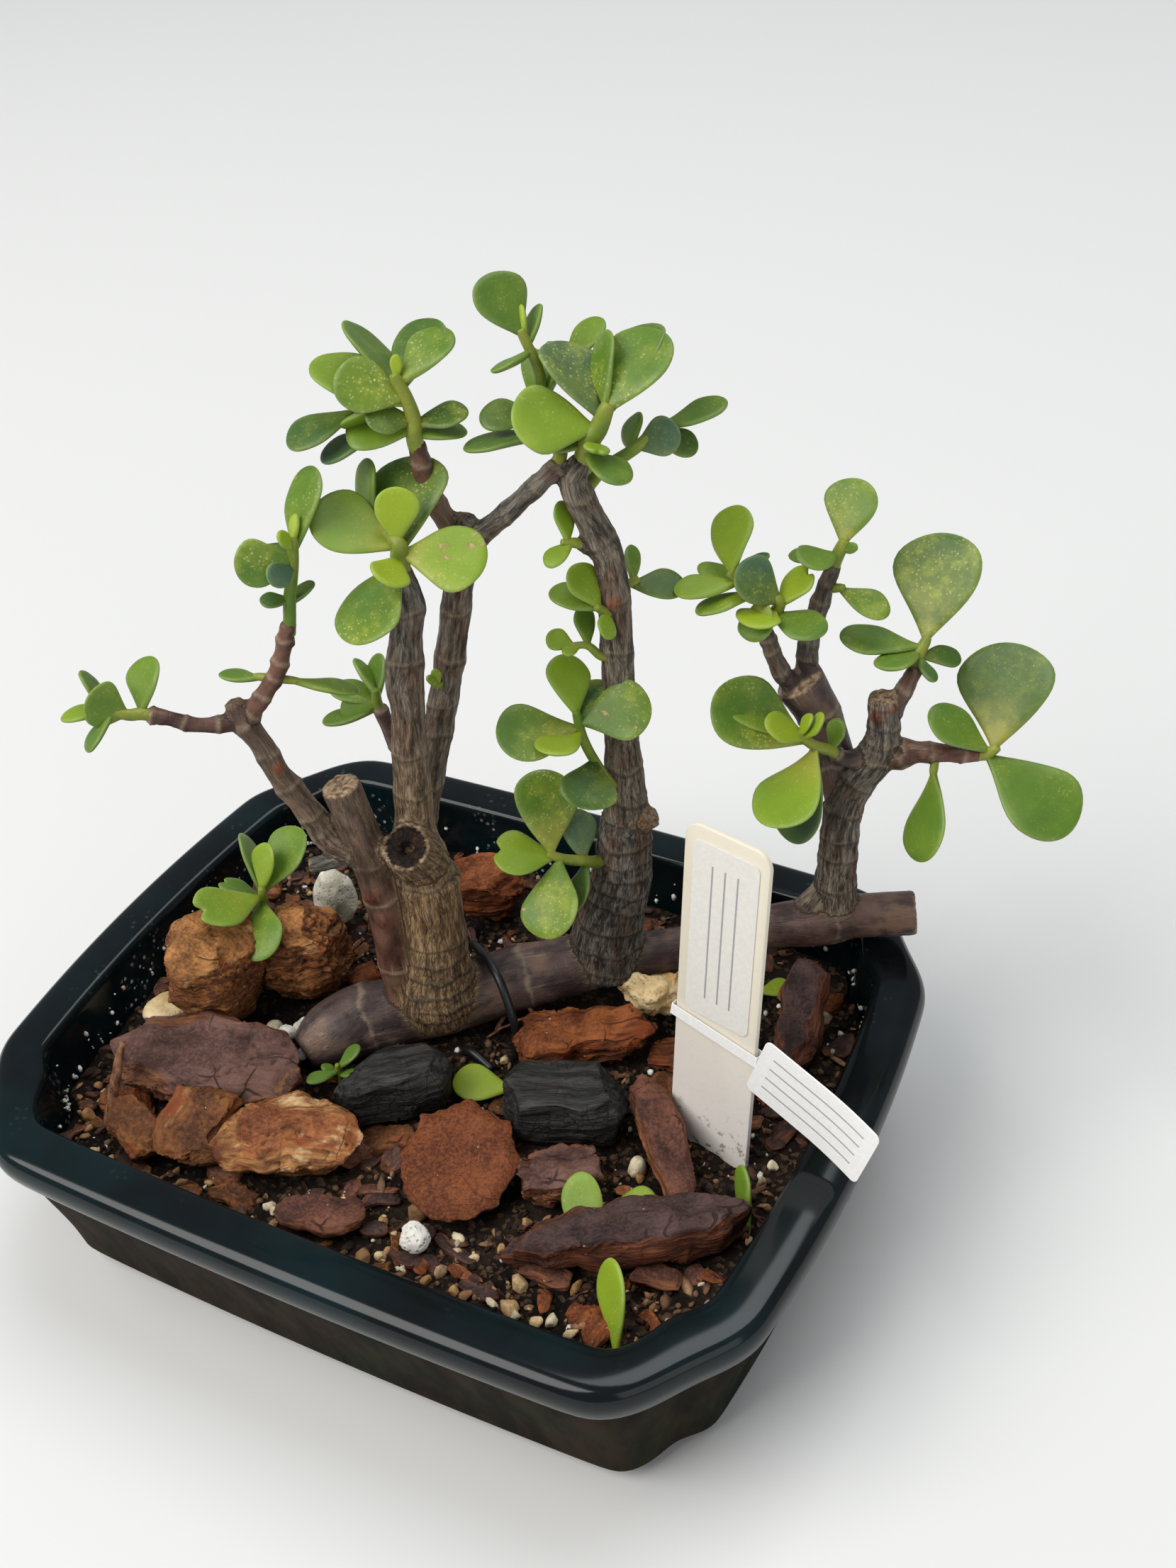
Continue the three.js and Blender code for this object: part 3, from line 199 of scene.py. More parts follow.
def modified(piece, kind, **settings):
    """The piece with a modifier of that kind applied."""
    select(piece)
    modifier = piece.modifiers.new(kind.lower(), kind)
    for name, value in settings.items():
        setattr(modifier, name, value)
    bpy.ops.object.modifier_apply(modifier=modifier.name)
    return piece


def cut_out(piece, tool):
    modified(piece, "BOOLEAN", object=tool, operation="DIFFERENCE", solver="EXACT")
    bpy.data.objects.remove(tool)


class Value:
    """An output of a material's nodes. Python's operators add the Math nodes."""

    def __init__(self, finish, socket):
        self.finish = finish
        self.socket = socket

    def math(self, operation, *others):
        inputs = dict(enumerate([self, *others]))
        return self.finish.node("ShaderNodeMath", {"operation": operation}, inputs)

    def __add__(self, other):
        return self.math("ADD", other)

    def __sub__(self, other):
        return self.math("SUBTRACT", other)

    def __mul__(self, other):
        return self.math("MULTIPLY", other)

    def __rsub__(self, other):
        return self * -1 + other

    __radd__ = __add__
    __rmul__ = __mul__

    def between(self, low, high):
        """0 below low, 1 above high and smooth between them. High may be the lower number."""
        settings = {"interpolation_type": "SMOOTHSTEP"}
        inputs = {"Value": self, "From Min": low, "From Max": high}
        return self.finish.node("ShaderNodeMapRange", settings, inputs)


def plain(value):
    """What a socket is set to: a linear colour from six hexadecimal digits, or else the value."""
    if not isinstance(value, str):
        return value
    parts = [int(value[i : i + 2], 16) / 255 for i in (0, 2, 4)]
    return (*(p / 12.92 if p <= 0.04045 else ((p + 0.055) / 1.055) ** 2.4 for p in parts), 1)


class Finish:
    """A material of one shader. Constants are set on its sockets, named with _ for a space."""

    def __init__(self, name, **constants):
        self.material = bpy.data.materials.new(name)
        self.material.use_nodes = True
        self.tree = self.material.node_tree
        self.shader = self.tree.nodes["Principled BSDF"]
        for socket, value in constants.items():
            self.shader.inputs[socket.replace("_", " ")].default_value = plain(value)
        self.place = self.node("ShaderNodeTexCoord", output="Object")

    def node(self, kind, settings=None, inputs=None, output=0):
        """An output of a new node, with its settings and what its sockets hold or are linked to."""
        made = self.tree.nodes.new(kind)
        for name, value in (settings or {}).items():
            setattr(made, name, value)
        for name, value in (inputs or {}).items():
            if isinstance(value, Value):
                self.tree.links.new(value.socket, made.inputs[name])
            else:
                made.inputs[name].default_value = plain(value)
        return Value(self, made.outputs[output])

    def attribute(self, name, output="Fac"):
        return self.node("ShaderNodeAttribute", {"attribute_name": name}, output=output)

    def stretched(self, scale, at=None, turn=0.0):
        """Coordinates in which a pattern comes out longer by scale, turned about Z."""
        inputs = {"Vector": at or self.place, "Rotation": (0, 0, turn), "Scale": scale}
        return self.node("ShaderNodeMapping", {"vector_type": "TEXTURE"}, inputs)

    def noise(self, size, detail=3, roughness=0.5, at=None, distortion=0.0):
        """Soft noise, centred on 0.5, with features of about size millimetres."""
        inputs = {
            "Vector": at or self.place,
            "Scale": 0.5 / (size * MM),
            "Detail": detail,
            "Roughness": roughness,
            "Distortion": distortion,
        }
        return self.node("ShaderNodeTexNoise", None, inputs)

    def noise_shift(self, at, size, reach):
        """The coordinates at, swayed by up to reach millimetres."""
        inputs = {"Vector": at, "Scale": 0.5 / (size * MM), "Detail": 3.0}
        sway = self.node("ShaderNodeTexNoise", None, inputs, "Color")
        inputs = {0: sway, 1: (2 * reach * MM,) * 3, 2: at}
        return self.node("ShaderNodeVectorMath", {"operation": "MULTIPLY_ADD"}, inputs)

    def cells(self, size, at=None, feature="F1", output="Distance"):
        """Cells about size millimetres across: the distance from their middles or edges."""
        inputs = {"Vector": at or self.place, "Scale": 1 / (size * MM)}
        return self.node("ShaderNodeTexVoronoi", {"feature": feature}, inputs, output)

    def mix(self, share, first, second):
        """A colour between two, at a share of the way to the second."""
        inputs = {0: share, 6: first, 7: second}
        return self.node("ShaderNodeMix", {"data_type": "RGBA"}, inputs, 2)

    def part(self, colour, channel):
        return self.node("ShaderNodeSeparateColor", None, {"Color": colour}, channel)

    def numbers(self, name):
        """The four numbers that a colour attribute holds for each point."""
        colour = self.attribute(name, "Color")
        first, second, third = (self.part(colour, c) for c in ("Red", "Green", "Blue"))
        return first, second, third, self.attribute(name, "Alpha")

    def wear(self, colour=None, roughness=None, height=None, depth=0.2):
        """Links what varies: colour, roughness, and a height of up to depth millimetres."""
        for name, value in (("Base Color", colour), ("Roughness", roughness)):
            if value is not None:
                self.tree.links.new(value.socket, self.shader.inputs[name])
        if height is not None:
            inputs = {"Height": height, "Distance": depth * MM, "Strength": 1.0}
            bump = self.node("ShaderNodeBump", None, inputs)
            self.tree.links.new(bump.socket, self.shader.inputs["Normal"])
        return self


def pot_glaze():
    """Black gloss that runs thin outside, where the brown clay and green clouds show through. It
    is duller inside, and dusted there with perlite."""
    glaze = Finish("pot glaze", Specular_IOR_Level=0, Coat_Roughness=0.13, Coat_IOR=1.45)
    body, neck, dusty, inside = glaze.numbers("glaze_zone")
    clouds = glaze.noise(14, 4, 0.55)
    runs = glaze.noise(3, 4, 0.6, glaze.stretched((1, 1, 3.5)))
    rim = glaze.mix(clouds.between(0.35, 0.7), "090d10", "0b1d20")
    clay = glaze.mix(runs.between(0.3, 0.7), "1d1812", "322920")
    green = glaze.mix(runs.between(0.35, 0.65), "171a14", "24281d")
    wall = glaze.mix(clouds.between(0.45, 0.66), clay, green)
    fired = glaze.mix(body, rim, wall)
    fired = glaze.mix(neck * runs.between(0.3, 0.55) * 0.7, fired, "66573f")
    thick = glaze.noise(5, 3).between(0.52, 0.62)
    drops = glaze.cells(1.5).between(0.3, 0.22) * thick
    haze = glaze.noise(0.8, 5, 0.7).between(0.55, 0.8) * thick
    dust = (drops * 0.9 + haze * 0.5) * dusty
    colour = glaze.mix(dust, fired, "c3c7c4")
    roughness = 0.2 + glaze.noise(6, 5, 0.6) * 0.07 + dust * 0.5 + body * 0.25
    glaze.wear(colour, roughness, glaze.noise(2.4, 3) * 0.35 + clouds + dust, 0.12)
    shine = 0.78 - body * 0.7 - inside * 0.35 - dust * 0.3
    glaze.tree.links.new(shine.socket, glaze.shader.inputs["Coat Weight"])
    return glaze


def dress(piece, finish, slot, *nodes):
    """Gives the piece its finish and its place in the object, and hides the nodes that it replaces.
    """
    piece.data.materials.clear()
    piece.data.materials.append(finish.material)
    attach(piece, "root")
    if nodes:
        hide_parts(*nodes)
    return piece


def hump(distance, width):
    """1 at no distance, falling away softly over a width."""
    return math.exp(-((distance / width) ** 2))


def glaze_zones(profile, around):
    """How much each point shows the thin glaze of the outside, the pale line under the lip, dust,
    and the inside. The dust lies just over the soil, most of it at the back and on the left."""
    x, y = pot_outline(0).T
    dusty = np.clip(0.45 + 0.4 * y / POT_HALF_WIDTH - 0.3 * x / POT_HALF_LENGTH, 0.1, 1)
    top = int(np.argmax(profile[:, 1]))
    rows = []
    for number, (_, z) in enumerate(profile):
        if number < top:
            zones = np.clip((BODY_TOP - z) / 1.6, 0, 1), hump(z - NECK_HEIGHT, 0.5), 0, 0
        else:
            dust = np.clip((z - DUST_FOOT) / 2, 0, 1) * np.clip((DUST_TOP - z) / 5, 0.06, 1)
            zones = 0, 0, dust, np.clip((RIM_HEIGHT - z) / 2, 0, 1)
        row = np.tile(zones, (around, 1))
        row[:, 2] *= dusty
        rows.append(row)
    return np.vstack([*rows, [[1, 0, 0, 0], [0, 0, 0, 1]]])


def pot_piece():
    profile = rounded(POT_PROFILE, 3)
    rings = [ring_at(inset, height) for inset, height in profile]
    pot = mesh_piece("glazed_pot", *lofted(rings))
    add_attribute(pot, "glaze_zone", glaze_zones(profile, len(rings[0])))
    for x in (-DRAIN_OFFSET, DRAIN_OFFSET):
        middle = (x * MM, 0, 0)
        bpy.ops.mesh.primitive_cylinder_add(
            vertices=48, radius=DRAIN_RADIUS * MM, depth=DRAIN_DEPTH * MM, location=middle
        )
        cut_out(pot, bpy.context.object)
        bpy.ops.mesh.primitive_cube_add(location=middle)
        channel = bpy.context.object
        channel.scale = (DRAIN_RADIUS * MM, POT_HALF_WIDTH * MM, CHANNEL_HEIGHT * MM)
        cut_out(pot, channel)
    select(pot)
    bpy.ops.object.shade_smooth_by_angle(angle=math.radians(SHARPEST_BEND))
    return dress(pot, pot_glaze(), "pot_glaze", "pot")


pot_piece()

# The soil. Loose potting mix of dark peat, fine bark and grit, poured in to about a centimetre
# under the rim and settled by watering, so it is crumbly and higher round the stems.

SOIL_LEVEL = 28.8
SOIL_INSET = 12.5
SOIL_FLOOR = 8.3
SOIL_FLOOR_STEP = 5.4
SOIL_ROWS = 62
SOIL_WAVES = 0.7
SOIL_LUMPS = 1.1


def soil_height(x, y):
    """Height of the soil at a place, in millimetres."""
    broad = noise.noise(Vector((x / 17, y / 17, 1.7)))
    lumps = noise.turbulence(Vector((x / 6, y / 6, 4.2)), 4, False)
    return SOIL_LEVEL + SOIL_WAVES * broad + SOIL_LUMPS * lumps


def potting_mix():
    """Dark damp peat with paler crumbs of bark."""
    soil = Finish("potting mix", Specular_IOR_Level=0.15)
    shade = soil.part(soil.cells(0.9, output="Color"), "Red")
    dark = soil.mix(soil.noise(4, 5, 0.65).between(0.35, 0.65), "0f0b09", "2a2019")
    colour = soil.mix(shade.between(0.75, 0.92) * 0.7, dark, "5f4935")
    lumps = soil.noise(0.8, 6, 0.75) + soil.cells(0.9) * 0.7
    return soil.wear(colour, 0.75 + shade * 0.2, lumps, 0.9)


def soil_piece():
    """The mass of the soil, with rows of points from the wall to the middle on its top."""
    wall = pot_outline(SOIL_INSET)
    levels = [ring_at(SOIL_INSET + SOIL_FLOOR_STEP, SOIL_FLOOR)]
    for share in np.linspace(1, 0.02, SOIL_ROWS):
        spots = wall * share
        heights = [soil_height(x, y) for x, y in spots]
        levels.append(np.column_stack([spots, heights]))
    return dress(mesh_piece("soil_mass", *lofted(levels)), potting_mix(), "soil", "soil")


soil_piece()

# The wood. An old branch laid on its side, whose side shoots have grown into five trunks: smooth
# plum-brown where it is young, and ringed with grey cork where it is old. It was pruned with
# cutters, and the stubs have healed or rotted.

# Name, cork at the start and the end (0 smooth to 1 corky), warmth there (0 grey to 1 brown), the
# distance between rings or where each one is, their depth, and the route as [x, y, z, radius].
LIMBS = [
    ("raft", (0.14, 0.12), (0.45, 0.65), [14, 30, 46, 63, 83, 108], 0.24, [
        [-28, -14.5, 32, 4], [-25, -9.5, 33.3, 6.6], [-21, -4, 34, 7.2], [-14, 1, 35, 6.8],
        [-6, 6.5, 36, 6.4], [2.8, 14.6, 37.5, 6.5], [10, 19.7, 38.5, 6.2],
        [18.4, 25.9, 39.5, 5.6], [24.2, 28.6, 40, 4.5], [34, 34, 41.4, 4.2],
        [46.5, 42, 43.8, 4.4], [54.6, 45, 45.5, 4.9], [58.4, 47.1, 46.2, 5.1],
        [62, 49, 46.4, 4.4], [72.8, 53.1, 47.5, 4.4]]),
    ("first trunk", (1, 0.7), (1, 0.95), [2.5, 6, 9.5, 13, 17, 31.5], 0.5, [
        [-8.2, 4.6, 38, 8.2], [-7.9, 4.6, 43.3, 7.5], [-7.1, 5, 51, 6.3], [-6.5, 5.3, 60.8, 5.9],
        [-6.7, 5.7, 68.9, 6.1]]),
    ("first trunk, upper", (0.75, 0.5), (0.8, 0.1), [12, 22.6, 30.7, 49.9, 60], 0.35, [
        [-6.6, 5.6, 66, 5.2], [-7.7, 5.7, 73.7, 5.2], [-8.2, 6.1, 77.5, 4.1],
        [-8, 6.7, 83.8, 3.6], [-7, 7.3, 98.9, 3.2], [-6.4, 7.6, 106.4, 3.1],
        [-6.3, 7.7, 111.7, 3.4], [-5.4, 8.8, 120, 2.9], [-4.5, 9.6, 127, 2.8],
        [-4.6, 8.7, 134, 2]]),
    ("hollow stub", (0.9, 0.9), (0.7, 0.7), [4.5], 0.2, [
        [-6.6, 5.7, 71, 5], [-6.7, 3, 76.3, 4.9], [-6.5, 0.4, 80, 4.6]]),
    ("left stem", (0.02, 0.38), (1, 0.5), [12, 29, 38.5], 0.26, [
        [-12, 1, 37, 4.2], [-12.8, 0.5, 50.9, 3.9], [-13.3, 0.2, 64, 3.6],
        [-14.2, -0.3, 74.7, 3.6], [-15.5, -1, 84.5, 3.5], [-16.8, -1.8, 92.8, 3.6]]),
    ("left branch", (0.5, 0.25), (0.45, 0.55), [2.5, 10.1, 14, 22, 30, 36.9], 0.35, [
        [-14.6, -0.5, 76, 3], [-19.6, -3.4, 80.4, 2.6], [-21.9, -4.6, 86, 2.4],
        [-23.7, -6.3, 92.5, 2.3], [-25.2, -7.7, 97.7, 2.1], [-26.6, -8.5, 103.7, 2],
        [-28.5, -9.6, 109.1, 2.1], [-29.3, -10.1, 113.1, 1.7]]),
    ("far-left twig", (0.15, 0), (0.65, 0.75), 5, 0.3, [
        [-28.2, -9.5, 108.7, 1.6], [-33.6, -14.8, 110.2, 1.3], [-36.8, -17.8, 112.7, 1.3],
        [-39.3, -20.2, 114.5, 1.2]]),
    ("left up twig", (0.15, 0), (0.85, 0.8), 4.4, 0.3, [
        [-28.3, -9.5, 108.5, 1.7], [-26.7, -8.6, 110.9, 1.6], [-24.3, -7.2, 114.5, 1.5],
        [-22.5, -5, 118, 1.4], [-20.2, -2.7, 126.4, 1.3]]),
    ("grey stub", (0.6, 0.5), (0.1, 0.1), 9, 0.2, [
        [-14.5, -0.5, 79, 1.7], [-18.3, -3.8, 76.9, 1.7], [-22.8, -7.5, 76.4, 1.5]]),
    ("second trunk", (0.7, 0.5), (0.4, 0.25), 9.5, 0.35, [
        [-12.8, 7.4, 35, 4], [-14.6, 11, 50, 3.6], [-15, 13, 61.1, 3.4],
        [-13.5, 15.1, 72.4, 3.2], [-9.3, 17.5, 89.4, 2.9], [-6.7, 18.9, 100.1, 2.7],
        [-4, 20.5, 113.1, 2.7], [-2.3, 21.4, 122.3, 2.6], [-0.9, 22.2, 131, 2.8],
        [0.2, 22.8, 136.9, 2.2]]),
    ("second trunk, right branch", (0.55, 0.4), (0.15, 0.1), 7, 0.3, [
        [-0.5, 22.4, 131.3, 1.9], [7.3, 23.4, 138, 1.8], [17.7, 24.8, 148.4, 1.6]]),
    ("second trunk, left branch", (0.4, 0.1), (0.6, 0.9), 5.5, 0.3, [
        [-0.6, 22.3, 131.6, 2], [-4.2, 20.4, 141.1, 1.8], [-5.4, 19.7, 151, 1.5]]),
    ("twig behind", (0.3, 0.1), (0.6, 0.6), 7, 0.3, [
        [-11.5, 16.1, 81, 1.7], [-14.1, 13.4, 90.9, 1.6], [-16.8, 13.1, 100, 1.3]]),
    ("third trunk", (1, 0.95), (0.15, 0.2), 4.6, 0.5, [
        [18.3, 25.9, 38, 7.3], [19.2, 26.4, 47, 6.8], [20.4, 27.1, 53, 6.2],
        [22.2, 28.2, 60.5, 5.6], [22.9, 28.5, 67.4, 5.1], [23.5, 28.9, 73.4, 4.9]]),
    ("third trunk, upper", (0.85, 0.55), (0.35, 0.3), [9, 16, 28, 41, 52, 63, 72], 0.35, [
        [23.4, 28.8, 71, 4.6], [23.6, 28.9, 80.1, 4], [23.7, 29, 90.6, 3.3],
        [23.7, 29, 100.9, 3.1], [23.8, 29.1, 111.2, 2.9], [23.9, 29.1, 120.5, 2.9],
        [23.4, 28.8, 131, 2.7], [20.6, 27.2, 140.2, 2.6], [19.4, 26.5, 145.5, 2.4],
        [21, 27.4, 149, 1.9]]),
    ("third trunk, stub", (0.9, 0.4), (0.4, 0.9), 9, 0.2, [
        [23.4, 28.9, 71, 3], [26.9, 28.5, 75, 2.4], [29.3, 28.2, 77.1, 2.1]]),
    ("third trunk, left twig", (0.3, 0.1), (0.3, 0.3), 3, 0.2, [
        [23, 28.7, 130.5, 1.5], [21, 26.3, 133.3, 1.2], [20.1, 24.9, 134.6, 1]]),
    ("fourth trunk", (0.9, 0.6), (0.35, 0.2), 5.6, 0.35, [
        [58.3, 47.4, 44.5, 5.3], [58, 48, 51, 4.3], [58.3, 48.3, 62, 3.7],
        [59, 48.6, 72.6, 3.6], [61, 49.8, 79, 3.5], [63.3, 51.1, 83.5, 3.6],
        [64.9, 51.9, 89, 3], [64.6, 51.8, 97.9, 2.6]]),
    ("fourth trunk, foot", (0.25, 0.6), (0.45, 0.35), 6, 0.2, [
        [48.5, 42.6, 43.6, 3.4], [53.4, 45.2, 47, 3.6], [57.2, 47.6, 53, 3.3]]),
    ("fourth trunk, top twig", (0.3, 0.1), (0.5, 0.8), 4.5, 0.3, [
        [64.8, 52, 90.5, 1.9], [67.9, 53.7, 98.8, 1.6], [69.4, 54.6, 103, 1.3]]),
    ("fourth trunk, right twig", (0.2, 0), (0.9, 0.9), 5, 0.4, [
        [63.5, 51.3, 84.5, 2.6], [68.6, 53, 85.3, 2.7], [71.7, 53.6, 85.9, 1.9],
        [82, 56, 86.6, 1.4]]),
    ("fourth trunk, left twig", (0.2, 0), (0.45, 0.5), 5, 0.3, [
        [63.2, 51.1, 84, 2.2], [59.4, 46.6, 85.9, 1.5], [58.1, 44.8, 88.8, 1.2]]),
    ("fat cut stub", (0.12, 0.08), (0.3, 0.3), [9, 20], 0.25, [
        [58.9, 49, 71.5, 3], [56.9, 50.9, 78.9, 3.7], [54.9, 52.1, 84.1, 3.8],
        [52.3, 52, 91, 4.1], [48.9, 51, 97.6, 4.8]]),
    ("cut stub, left twig", (0.5, 0.3), (0.2, 0.2), 4, 0.3, [
        [50, 51.4, 94, 2.2], [47.6, 49.1, 98.5, 1.9], [46.3, 46.9, 103.5, 1.6],
        [44.8, 45.2, 111, 1.4]]),
    ("cut stub, right twig", (0.5, 0.3), (0.25, 0.3), 4, 0.3, [
        [50, 52, 94, 2.3], [50, 52.7, 104.5, 1.9], [51.4, 53.5, 111.8, 1.7],
        [53.8, 54.8, 121, 1.3]]),
]
LIMB_SIDES = 20
WOOD_VOXEL = 0.5
JOINT_BLEND = 0.06
BATCH = 8000
HOLLOW_PLACE = (-6.5, 0.2, 80.4)
HOLLOW_LEAN = 35
HOLLOW_DEPTH = 8
HOLLOW_RADII = (0.6, 3)

# Pruning cuts: where, which way each faces, how far it reaches, and how dark it has gone. At 1 it
# has rotted away into a hole, and its walls are dark with rot and with painted shade too.
CUTS = [
    ((-16.9, -1.9, 93.2), (-0.15, -0.1, 1), 4.4, 0.0),
    ((-6.4, 0, 80.5), (0, -0.55, 0.8), 5.6, 0.1),
    ((-6.4, 0, 80.5), (0, -0.55, 0.8), 3.9, 1.0),
    ((48.6, 50.8, 98.3), (-0.4, -0.1, 0.9), 6.4, 0.1),
    ((68.6, 50.2, 87.4), (0.5, -0.6, 0.6), 1.3, 0.8),
    ((73.4, 53.4, 47.6), (0.95, 0.3, 0.1), 5, 0.6),
    ((64.6, 51.8, 98.3), (0, 0, 1), 2.9, 0.2),
    ((29.8, 28.2, 77.5), (0.8, 0, 0.6), 2.4, 0.5),
    ((-23.2, -7.7, 76.4), (-0.8, -0.6, 0), 1.8, 0.3),
    ((-29.5, -10.2, 113.6), (-0.3, -0.2, 1), 1.9, 0.7),
]

# Leaf scars, buds and knobs: where, their reach, how far they stand out, and how orange they are.
SCARS = [
    ((-23.9, -8.6, 99.6), 1.3, 0.7, 1), ((-13.2, -3.9, 69.2), 2, 0.9, 0.9),
    ((-11.5, -3.4, 63.1), 1.7, 0.7, 0.6), ((25.3, 26.3, 123.3), 1.4, 0.6, 0.9),
    ((64.3, 48.6, 94.8), 1.7, 0.7, 1), ((66.8, 50.6, 96.5), 1.2, 0.5, 0.8),
    ((69.2, 50.6, 86.9), 1.3, 0.6, 0.2), ((65.8, 48.2, 86.6), 1.3, 0.6, 0.1),
    ((60.2, 42.3, 48.8), 1.4, 0.8, 0.1), ((-7.1, 3.6, 115.9), 1.1, 0.5, 0),
    ((-11.4, 6.6, 112), 1, 0.9, 0), ((-4.2, 6, 112), 0.9, 0.6, 0.2),
    ((-19, -5.8, 80.6), 1.2, 0.5, 0.3), ((3, 21.6, 132.5), 1.2, 0.9, 0.1),
    ((29.3, 27.2, 77.3), 1.6, 0.3, 0.8), ((-6, 17.9, 146), 1.1, 0.4, 0.8),
]


def frames_along(route):
    """Tangents and two square directions along a route, with no twist."""
    tangents = np.gradient(route, axis=0)
    tangents /= np.linalg.norm(tangents, axis=1, keepdims=True)
    across = np.array([1, 0.2, 0.1])
    sides = []
    for tangent in tangents:
        across = across - tangent * (across @ tangent)
        across /= np.linalg.norm(across)
        sides.append(across)
    sides = np.array(sides)
    return tangents, sides, np.cross(tangents, sides)


def tube(route, sides, steps):
    """Points and faces of a round tube through [x, y, z, radius] rows."""
    path = rounded(route, steps)
    _, across, up = frames_along(path[:, :3])
    angle = np.linspace(0, 2 * math.pi, sides, endpoint=False)
    circle = np.cos(angle)[:, None, None] * across + np.sin(angle)[:, None, None] * up
    rings = path[:, :3] + circle * path[:, 3:]
    return lofted(list(rings.transpose(1, 0, 2)))


def rough_wood():
    """All the limbs in one skin, with the rotted stub hollowed out."""
    limbs = [mesh_piece(name, *tube(route, LIMB_SIDES, 6)) for name, *_, route in LIMBS]
    select(*limbs)
    bpy.ops.object.join()
    wood = bpy.context.object
    modified(wood, "REMESH", mode="VOXEL", voxel_size=WOOD_VOXEL * MM)
    bpy.ops.mesh.primitive_cone_add(
        vertices=24,
        radius1=HOLLOW_RADII[0] * MM,
        radius2=HOLLOW_RADII[1] * MM,
        depth=HOLLOW_DEPTH * MM,
        location=[v * MM for v in HOLLOW_PLACE],
        rotation=(math.radians(HOLLOW_LEAN), 0, 0),
    )
    cut_out(wood, bpy.context.object)
    modified(wood, "REMESH", mode="VOXEL", voxel_size=WOOD_VOXEL * MM)
    modified(wood, "SMOOTH", factor=0.5, iterations=4)
    wood.name = "tree_bark"
    return wood


def vectors_of(items, name):
    found = np.empty(len(items) * 3, np.float32)
    items.foreach_get(name, found)
    return found.reshape(-1, 3)


def points_of(piece):
    return vectors_of(piece.data.vertices, "co") / MM


def normals_of(piece):
    return vectors_of(piece.data.vertex_normals, "vector")


def put_points(piece, points):
    piece.data.vertices.foreach_set("co", (np.asarray(points) * MM).astype(np.float32).ravel())
    piece.data.update()


def along_limbs(points):
    """For each point: its limb, how far along it lies, its angle round it and its distance, and
    the cork and warmth there, which go over softly from limb to limb."""
    rows = []
    for index, (_, corks, warmths, *_, route) in enumerate(LIMBS):
        path = rounded(route, 8)
        axes = frames_along(path[:, :3])
        steps = np.linalg.norm(np.diff(path[:, :3], axis=0), axis=1)
        length = np.concatenate([[0], np.cumsum(steps)])
        look = [np.interp(length / length[-1], [0, 1], ends) for ends in (corks, warmths)]
        rows.append(np.column_stack([path, *axes, length, *look, np.full(len(path), index)]))
    columns = np.split(np.vstack(rows), [3, 4, 7, 10, 13, 14, 16], axis=1)
    place, radius, *axes, length, look, limb = columns
    nearest, looks = np.empty(len(points), int), np.empty((len(points), 2))
    for start in range(0, len(points), BATCH):
        batch = slice(start, start + BATCH)
        gap = np.linalg.norm(points[batch, None] - place, axis=2) / radius[:, 0]
        nearest[batch] = gap.argmin(1)
        weight = np.exp((gap.min(1, keepdims=True) - gap) / JOINT_BLEND)
        looks[batch] = weight @ look / weight.sum(1, keepdims=True)
    offset = points - place[nearest]
    down, a, b = ((offset * axis[nearest]).sum(1) for axis in axes)
    limb, length = limb[nearest, 0].astype(int), length[nearest, 0]
    return limb, length + down, np.arctan2(b, a), np.hypot(a, b), looks


def ring_places(number, rings, length):
    """Distances along a limb at which it is ringed. They vary where only a spacing is given."""
    if isinstance(rings, list):
        return np.array(rings, float)
    draw = random.Random(number)
    places = [rings * draw.uniform(0.3, 1)]
    while places[-1] < length:
        places.append(places[-1] + rings * draw.uniform(0.65, 1.3))
    return np.array(places)


def bark_relief(points):
    """Height of the bark over the wood in millimetres, its colour state and its grain."""
    limb, length, angle, reach, looks = along_limbs(points)
    round_x, round_y = reach * np.cos(angle), reach * np.sin(angle)
    relief, state = np.empty(len(points)), np.empty((len(points), 4))
    places = [ring_places(i, row[3], 140) for i, row in enumerate(LIMBS)]
    for i, number in enumerate(limb):
        depth, (cork, warmth) = LIMBS[number][4], looks[i]
        at = Vector((round_x[i] + 31.7 * number, round_y[i], length[i]))
        sway = noise.noise(at * 0.22) * 1.3 + noise.noise(at * 0.7) * 0.35
        gaps = length[i] + sway - places[number]
        nearest = int(np.abs(gaps).argmin())
        gap = gaps[nearest]
        line, swell, crest = hump(gap, 0.42), hump(gap, 2.1), hump(gap - 0.6, 0.4)
        scars = hump(gap, 0.9) * max(0, math.cos(2 * angle[i] + 1.57 * nearest)) ** 4
        split = noise.noise(Vector((at.x * 1.3, at.y * 1.3, at.z * 0.22)))
        fissure = max(0.0, 0.1 - abs(split)) / 0.1
        lumps = noise.turbulence(at * 0.42, 3, False)
        relief[i] = depth * (0.7 * swell + (0.5 - 1.15 * cork) * line + (1 - cork) * scars)
        relief[i] += cork * (0.14 * (lumps - 0.25) - 0.05 * fissure) + 0.07 * noise.noise(at * 0.9)
        # Dark ring marks of the bark's own, and on cork also painted shade in the ring grooves and
        # fissures.
        ring_mark_and_groove_shade = min(1.0, cork * (0.75 * line + 0.15 * fissure) + 0.25 * line)
        state[i] = cork, warmth, ring_mark_and_groove_shade, (1 - 0.4 * cork) * crest
    return relief, state, np.column_stack([round_x, round_y, length + 40 * limb]) * MM


def scar_marks(points):
    """How far the scars raise each point, and how orange they make it."""
    raised, orange = np.zeros(len(points)), np.zeros(len(points))
    for place, reach, height, colour in SCARS:
        near = np.exp(-((np.linalg.norm(points - place, axis=1) / reach) ** 2))
        raised += height * near
        orange = np.maximum(orange, colour * np.clip(near * 1.7 - 0.25, 0, 1))
    return raised, orange


